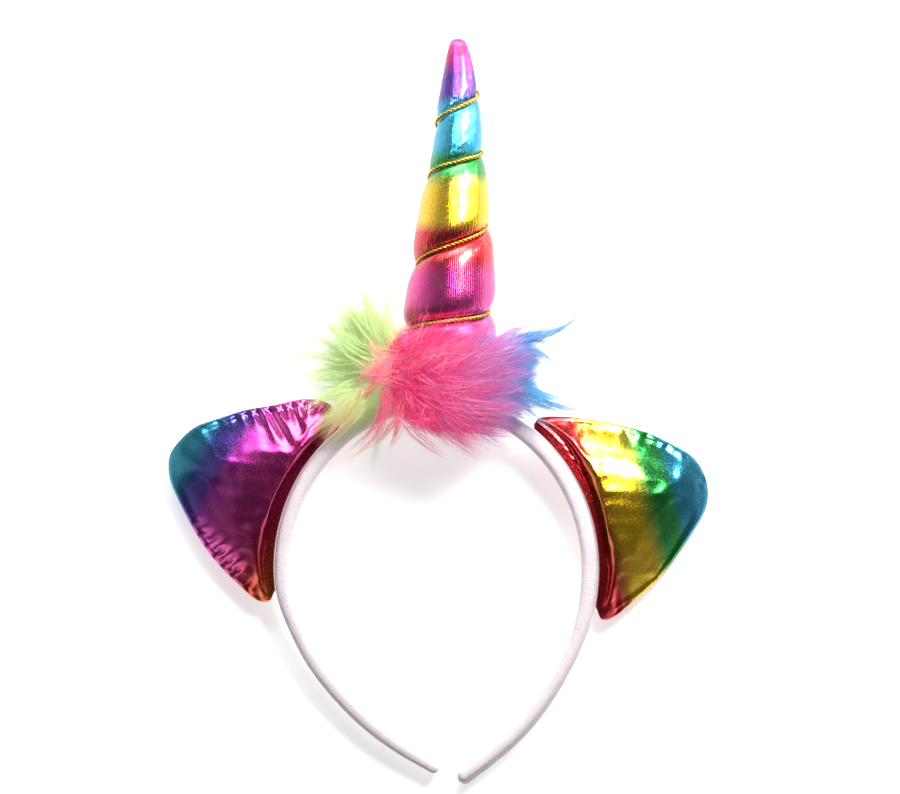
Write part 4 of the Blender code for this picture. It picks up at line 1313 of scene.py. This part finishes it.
def clump_paths(root, normal, way, length, curl, back, count, width, gather, wave):
    """Paths of the hairs of many clumps: their tips gather, and each hair wanders a little."""
    clumps = len(root)
    t = np.linspace(0, 1, HAIR_STEPS)[None, None, :, None]
    up = np.array([0.0, 1.0, 0.0])
    front = np.array([0.0, 0.0, 1.0])
    each = length[:, None] * chance.uniform(0.72, 1.12, (clumps, count))
    spread = chance.normal(0, 1, (clumps, count, 3)) * width[:, None, None]
    spread -= normal[:, None] * (spread * normal[:, None]).sum(-1, keepdims=True) * 0.7
    start = root[:, None] + spread
    each = each[..., None, None]
    path = start[:, :, None] + normal[:, None, None] * each * (0.46 * t - 0.36 * t ** 2)
    path = path + way[:, None, None] * each * t * (0.50 + 0.50 * t)
    path = path + up * each * curl[:, None, None, None] * t ** 2
    path = path - front * each * back[:, None, None, None] * t ** 2
    path = path - spread[:, :, None] * (gather[:, None, None, None] * t ** 1.3)
    side = unit(np.cross(way, normal))
    phase = chance.uniform(0, 2 * math.pi, (clumps, 1)) + chance.normal(0, 0.5, (clumps, count))
    turns = chance.uniform(0.45, 1.1, (clumps, 1)) + chance.normal(0, 0.10, (clumps, count))
    sway = np.sin(phase[..., None, None] + 2 * math.pi * turns[..., None, None] * t) * t
    path = path + side[:, None, None] * sway * wave[:, None, None, None]
    sway = np.cos(1.7 * phase[..., None, None] + 5.0 * turns[..., None, None] * t) * t
    path = path + normal[:, None, None] * sway * wave[:, None, None, None] * 0.6
    loose = chance.normal(0, 0.00035, (clumps, count, 1, 3)) * t
    return (path + loose).reshape(-1, HAIR_STEPS, 3)

# %% Turn hair paths into tapered tubes
HAIR = {"Root width": 0.00017, "Tip share": 0.16}
hair_tree, nodes, inputs = new_growth("hairs", HAIR)
path = nodes.add("GeometryNodeMeshToCurve", {}, {"Mesh": inputs["Geometry"]})
grown_share = nodes.add("GeometryNodeSplineParameter", out=0)
thick = nodes.add("GeometryNodeInputNamedAttribute", {"data_type": "FLOAT"}, {"Name": "thick"})
taper = 1 - grown_share ** 1.6 * (1 - inputs["Tip share"])
section = nodes.add("GeometryNodeCurvePrimitiveCircle", {}, {"Resolution": 3, "Radius": 0.5})
hairs = nodes.add("GeometryNodeCurveToMesh", {}, {
    "Curve": path, "Profile Curve": section, "Fill Caps": True,
    "Scale": taper * thick * inputs["Root width"]})
end_growth(nodes, hairs, hair_finish)


def hair_piece(name, paths, hue, shade, thick):
    """One piece of fur from hair paths, with dye, shade and thickness for each hair or each point."""
    count = len(paths)
    first = np.arange(count)[:, None] * HAIR_STEPS + np.arange(HAIR_STEPS - 1)[None]
    edges = np.stack([first, first + 1], -1).reshape(-1, 2).tolist()
    hairs = mesh_piece(name, laid(paths.reshape(-1, 3)), edges=edges)
    for label, values in (("hue", hue), ("shade", shade), ("thick", thick)):
        values = np.asarray(values, float)
        values = np.repeat(values, HAIR_STEPS) if values.ndim == 1 else values
        give_attribute(hairs, label, values)
    hairs = grown(hairs, hair_tree, HAIR)
    hairs.data.shade_smooth()
    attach(hairs, "root")
    print(name, count, "hairs,", triangles_in(hairs), "triangles")
    return hairs

# %% Undercoat
UNDERCOAT_COLUMNS = 84
UNDERCOAT_ROWS = 30


def make_undercoat():
    """The dense short fur under the hair: a closed, lumpy collar."""
    degrees = np.linspace(-106, 106, UNDERCOAT_COLUMNS + 1)
    turn = np.linspace(-90, 90, UNDERCOAT_ROWS + 1)
    rings = []
    for d in degrees:
        front, normal = collar_skin(np.full(len(turn), d), turn, 0.56)
        lump = 0.0009 * np.sin(d * 0.31 + turn * 0.08) * np.sin(turn * 0.13 - d * 0.17)
        lump += 0.0006 * np.sin(d * 0.83 + 2 * np.sin(turn * 0.11))
        front = front + normal * lump[:, None] * np.cos(np.radians(turn))[:, None]
        a = math.radians(d)
        inner = front[[-1, 0]].copy()
        middle = horn_outline(np.maximum(inner[:, 1] - HORN_FOOT_Y, 0.0))[1]
        inner[:, 0] = middle + INNER_RADIUS * math.sin(a)
        inner[:, 2] = INNER_RADIUS * math.cos(a)
        rings.append(np.concatenate([front, inner]))
    rings = np.array(rings)
    undercoat = mesh_piece("fur_undercoat", laid(rings), tube_faces(*rings.shape[:2]), undercoat_finish)
    x = rings[..., 0].ravel()
    give_attribute(undercoat, "hue", column(DYE, 1, x))
    # Low shade values: the undercoat is painted darker, as painted shadow under the hair.
    give_attribute(undercoat, "shade", 0.42 + 0.22 * np.sin(x * 2600 + rings[..., 1].ravel() * 1700))
    return undercoat


undercoat = make_undercoat()
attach(undercoat, "root")
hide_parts("fur_collar")
print("undercoat:", triangles_in(undercoat), "triangles")

# %% Body of the fur
def comb(degrees, depth, count, width, stray, length_share, gather, wave, lime=False):
    """Hair clumps rooted at these degrees round the horn: paths, dye, shade and thickness."""
    clumps = len(degrees)
    turn = np.degrees(np.arcsin(chance.uniform(-0.98, 0.98, clumps)))
    root, normal = collar_skin(degrees, turn, depth)
    way, length, curl = combed_way(root, lime)
    off = chance.normal(0, stray, clumps)
    way = unit(way + np.stack([-way[:, 1], way[:, 0], 0 * off], 1) * off[:, None])
    length = length * chance.uniform(*length_share, clumps)
    back = 0.08 + 0.42 * ease((root[:, 0] - 0.004) / 0.024) + 0.25 * ease((-0.018 - root[:, 0]) / 0.014)
    paths = clump_paths(root, normal, way, length, curl, back, count, np.full(clumps, width),
                        chance.uniform(*gather, clumps), chance.uniform(*wave, clumps))
    dye = column(DYE, 1, root[:, 0] + chance.normal(0, 0.0012, clumps))
    dye = np.repeat(chance.uniform(0.02, 0.20, clumps) if lime else dye, count)
    dye = dye + chance.normal(0, 0.016, len(paths))
    # A random tone for each clump and hair, which the finish paints as shadow or highlight.
    tone = np.repeat(chance.normal(0.55, 0.15, clumps), count) + chance.normal(0, 0.13, len(paths))
    return paths, dye, np.clip(tone, 0, 1), chance.uniform(0.70, 1.10, len(paths))


# Degrees round the horn, clumps, depth, hairs in a clump, clump's width, stray angle, and the ranges of
# length, gather and wave, then whether it is combed as the lime fur is
COATS = [
    ((-80, 104), 380, 0.60, 26, 0.0020, 0.30, (0.70, 1.20), (0.20, 0.65), (0.0004, 0.0016), False),
    ((-106, -70), 150, 0.60, 24, 0.0026, 0.55, (0.50, 1.50), (0.55, 0.92), (0.0004, 0.0014), True),
    ((-60, 50), 260, 0.70, 3, 0.0030, 1.10, (0.45, 0.95), (0.0, 0.3), (0.0008, 0.0026), False),
    ((-106, -66), 150, 0.60, 2, 0.0030, 0.65, (1.20, 1.90), (0.0, 0.2), (0.0004, 0.0020), True),
]
coats = [comb(chance.uniform(*reach, clumps), *rest) for reach, clumps, *rest in COATS]
body, hue, shade, thick = (np.concatenate([coat[k] for coat in coats]) for k in range(4))
# The last coat is a haze of fine single hairs
thick[-len(coats[-1][0]):] *= 0.55
ZONES = {
    "fur_lime": (-9.0, 0.24), "fur_pink": (0.24, 0.52), "fur_lilac": (0.52, 0.84), "fur_blue": (0.84, 9.0),
}
print("body hairs:", len(body))

# %% [markdown]
# Fifty long locks give the fur its outline: pointed lime tufts that stand up on the left, pink locks
# over the left ear, lilac locks on the right and blue ones behind them.  They are listed one by one.

# %% Long locks
# Root x y z, tip x y z and sideways bow in millimetres, hairs, width at the root, dye at root and tip
# The lime locks, dyed less than FINE_DYE at the root, are pointed and finer, with more hairs than listed
FINE_DYE = 0.30
FINE_HAIRS = 1.6
LOCKS = [
    (-19, 85, 24, -31, 84, 20, 3, 60, 6.0, 0.41, 0.34), (-18, 90, 22, -27, 95, 18, 3, 40, 6.0, 0.38, 0.29),
    (-19, 78, 25, -32, 74, 20, -3, 60, 6.0, 0.42, 0.36), (-20, 82, 24, -31, 80, 18, 2, 40, 6.0, 0.38, 0.29),
    (-27, 90, 9, -52, 109, 5, 2, 34, 5.0, 0.10, 0.03), (-26, 92, 10, -47, 116, 6, -2, 34, 5.0, 0.12, 0.02),
    (-24, 93, 12, -38, 112, 8, 1, 36, 5.5, 0.10, 0.04), (-22, 93, 12, -29, 118, 8, 2, 34, 5.5, 0.14, 0.04),
    (-19, 93, 13, -20, 110, 10, 1, 26, 4.5, 0.14, 0.05), (-29, 86, 6, -56, 97, 2, 1, 30, 5.0, 0.08, 0.03),
    (-29, 82, 6, -66, 87, 1, -2, 34, 4.6, 0.10, 0.03), (-29, 80, 7, -60, 80, 2, 2, 34, 4.6, 0.10, 0.04),
    (-29, 76, 8, -52, 70, 4, 2, 32, 5.0, 0.10, 0.04), (-28, 73, 12, -46, 58, 9, 2, 44, 5.0, 0.12, 0.12),
    (-27, 71, 13, -48, 55, 8, -2, 44, 4.0, 0.16, 0.20), (-26, 70, 14, -42, 51, 9, 1, 44, 4.0, 0.18, 0.25),
    (-33, 72, 20, -50, 57, 17, 1, 34, 5.0, 0.20, 0.27), (-32, 70, 21, -45, 53, 17, 0, 34, 5.0, 0.23, 0.29),
    (-34, 75, 19, -53, 65, 15, -1, 26, 4.0, 0.16, 0.24), (-30, 71, 21, -40, 55, 18, 1, 30, 4.0, 0.21, 0.32),
    (-25, 72, 14, -38, 58, 10, 0, 40, 4.6, 0.14, 0.20), (-25, 86, 16, -44, 100, 10, 2, 30, 6.0, 0.16, 0.08),
    (-23, 81, 22, -41, 67, 13, 5, 60, 2.4, 0.36, 0.31), (-22, 78, 23, -41, 71, 14, 3, 34, 2.2, 0.32, 0.26),
    (-21, 84, 22, -27, 74, 16, 4, 40, 2.6, 0.36, 0.33), (-20, 74, 22, -34, 49, 10, 4, 60, 2.8, 0.42, 0.38),
    (-19, 71, 23, -38, 43, 8, 5, 26, 2.4, 0.42, 0.36), (-15, 66, 23, -26, 50, 12, 2, 44, 3.0, 0.42, 0.40),
    (-15, 62, 24, -18, 50, 14, 1, 40, 3.0, 0.42, 0.40), (11, 88, 24, 33, 103, 18, -4, 70, 3.0, 0.60, 0.68),
    (14, 88, 22, 38, 98, 14, -3, 70, 3.0, 0.66, 0.74), (16, 84, 24, 42, 89, 12, -2, 80, 3.4, 0.68, 0.78),
    (16, 79, 25, 43, 79, 12, 2, 80, 3.4, 0.70, 0.80), (15, 74, 25, 41, 70, 12, 3, 80, 3.4, 0.70, 0.78),
    (12, 67, 24, 36, 61, 12, 4, 80, 3.4, 0.62, 0.74), (4, 63, 25, 30, 56, 14, 5, 80, 3.6, 0.50, 0.58),
    (-6, 61, 25, 18, 53, 15, 4, 70, 3.4, 0.46, 0.48), (-12, 61, 24, 6, 50, 15, 3, 30, 3.4, 0.44, 0.46),
    (-2, 60, 24, 16, 46, 12, 2, 22, 3.6, 0.44, 0.46), (30, 93, 8, 61, 107, 6, -4, 102, 2.9, 0.88, 0.94),
    (31, 90, 8, 52, 98, 5, 3, 85, 3.2, 0.90, 0.96), (31, 88, 9, 50, 89, 5, 5, 68, 3.5, 0.90, 0.94),
    (30, 84, 10, 50, 80, 5, 7, 85, 2.9, 0.88, 0.92), (31, 80, 10, 57, 70, 5, -3, 95, 3.2, 0.92, 0.98),
    (31, 76, 11, 63, 64, 8, -2, 119, 3.2, 0.98, 1.00), (30, 73, 12, 55, 63, 8, -1, 85, 3.8, 0.96, 1.00),
    (29, 70, 12, 46, 58, 8, 1, 85, 3.8, 0.92, 0.96), (27, 92, 12, 40, 100, 9, 2, 50, 2.6, 0.74, 0.82),
]


def make_locks():
    """Hair paths of the long locks, with their dye and shade."""
    paths, hues, shades, widths = [], [], [], []
    t = np.linspace(0, 1, HAIR_STEPS)[None, :, None]
    for row in LOCKS:
        root, tip = np.array(row[0:3]) * MM, np.array(row[3:6]) * MM
        fine = row[9] < FINE_DYE
        bow, count, width = row[6] * MM, int(row[7] * (FINE_HAIRS if fine else 1.0)), row[8] * MM
        reach = tip - root
        side = unit(np.array([-reach[1], reach[0], 0.0]))
        spread = chance.normal(0, 1, (count, 1, 3)) * width * 0.5
        each = chance.uniform(0.66 if fine else 0.50, 1.08, (count, 1, 1))
        centre = root + reach * t * each + side * bow * np.sin(math.pi * t * each)
        centre = centre + np.array([0, 0, 1.0]) * np.sin(math.pi * t) * 0.10 * np.linalg.norm(reach)
        gather = (0.50 if fine else 0.60) + (0.45 if fine else 0.30) * chance.uniform(0, 1, (count, 1, 1))
        path = centre + spread * (1 - gather * t)
        sway = np.sin(chance.uniform(0, 6.28, (count, 1, 1)) * 0.25 + 5 * t) * t * 0.0006
        path = path + side * sway + chance.normal(0, 0.0003, (count, 1, 3)) * t
        paths.append(path)
        dye = row[9] + (row[10] - row[9]) * t[0, :, 0]
        hues.append(np.tile(dye, (count, 1)) + chance.normal(0, 0.012, (count, 1)))
        # A random tone for each hair, which the finish paints as shadow or highlight.
        shades.append(np.clip(chance.normal(0.60, 0.13, count), 0, 1))
        widths.append(chance.uniform(0.55, 0.95, count) if fine else chance.uniform(0.6, 1.0, count))
    return np.concatenate(paths), np.concatenate(hues), np.concatenate(shades), np.concatenate(widths)


lock_paths, lock_hue, lock_shade, lock_thick = make_locks()
print("lock hairs:", len(lock_paths))
for name, (low, high) in ZONES.items():
    members = (hue >= low) & (hue < high)
    also = (lock_hue[:, 0] >= low) & (lock_hue[:, 0] < high)
    hair_piece(
        name, np.concatenate([body[members], lock_paths[also]]),
        np.concatenate([np.repeat(hue[members], HAIR_STEPS), lock_hue[also].ravel()]).reshape(-1, 1),
        np.concatenate([shade[members], lock_shade[also]]),
        np.concatenate([thick[members], lock_thick[also]]))
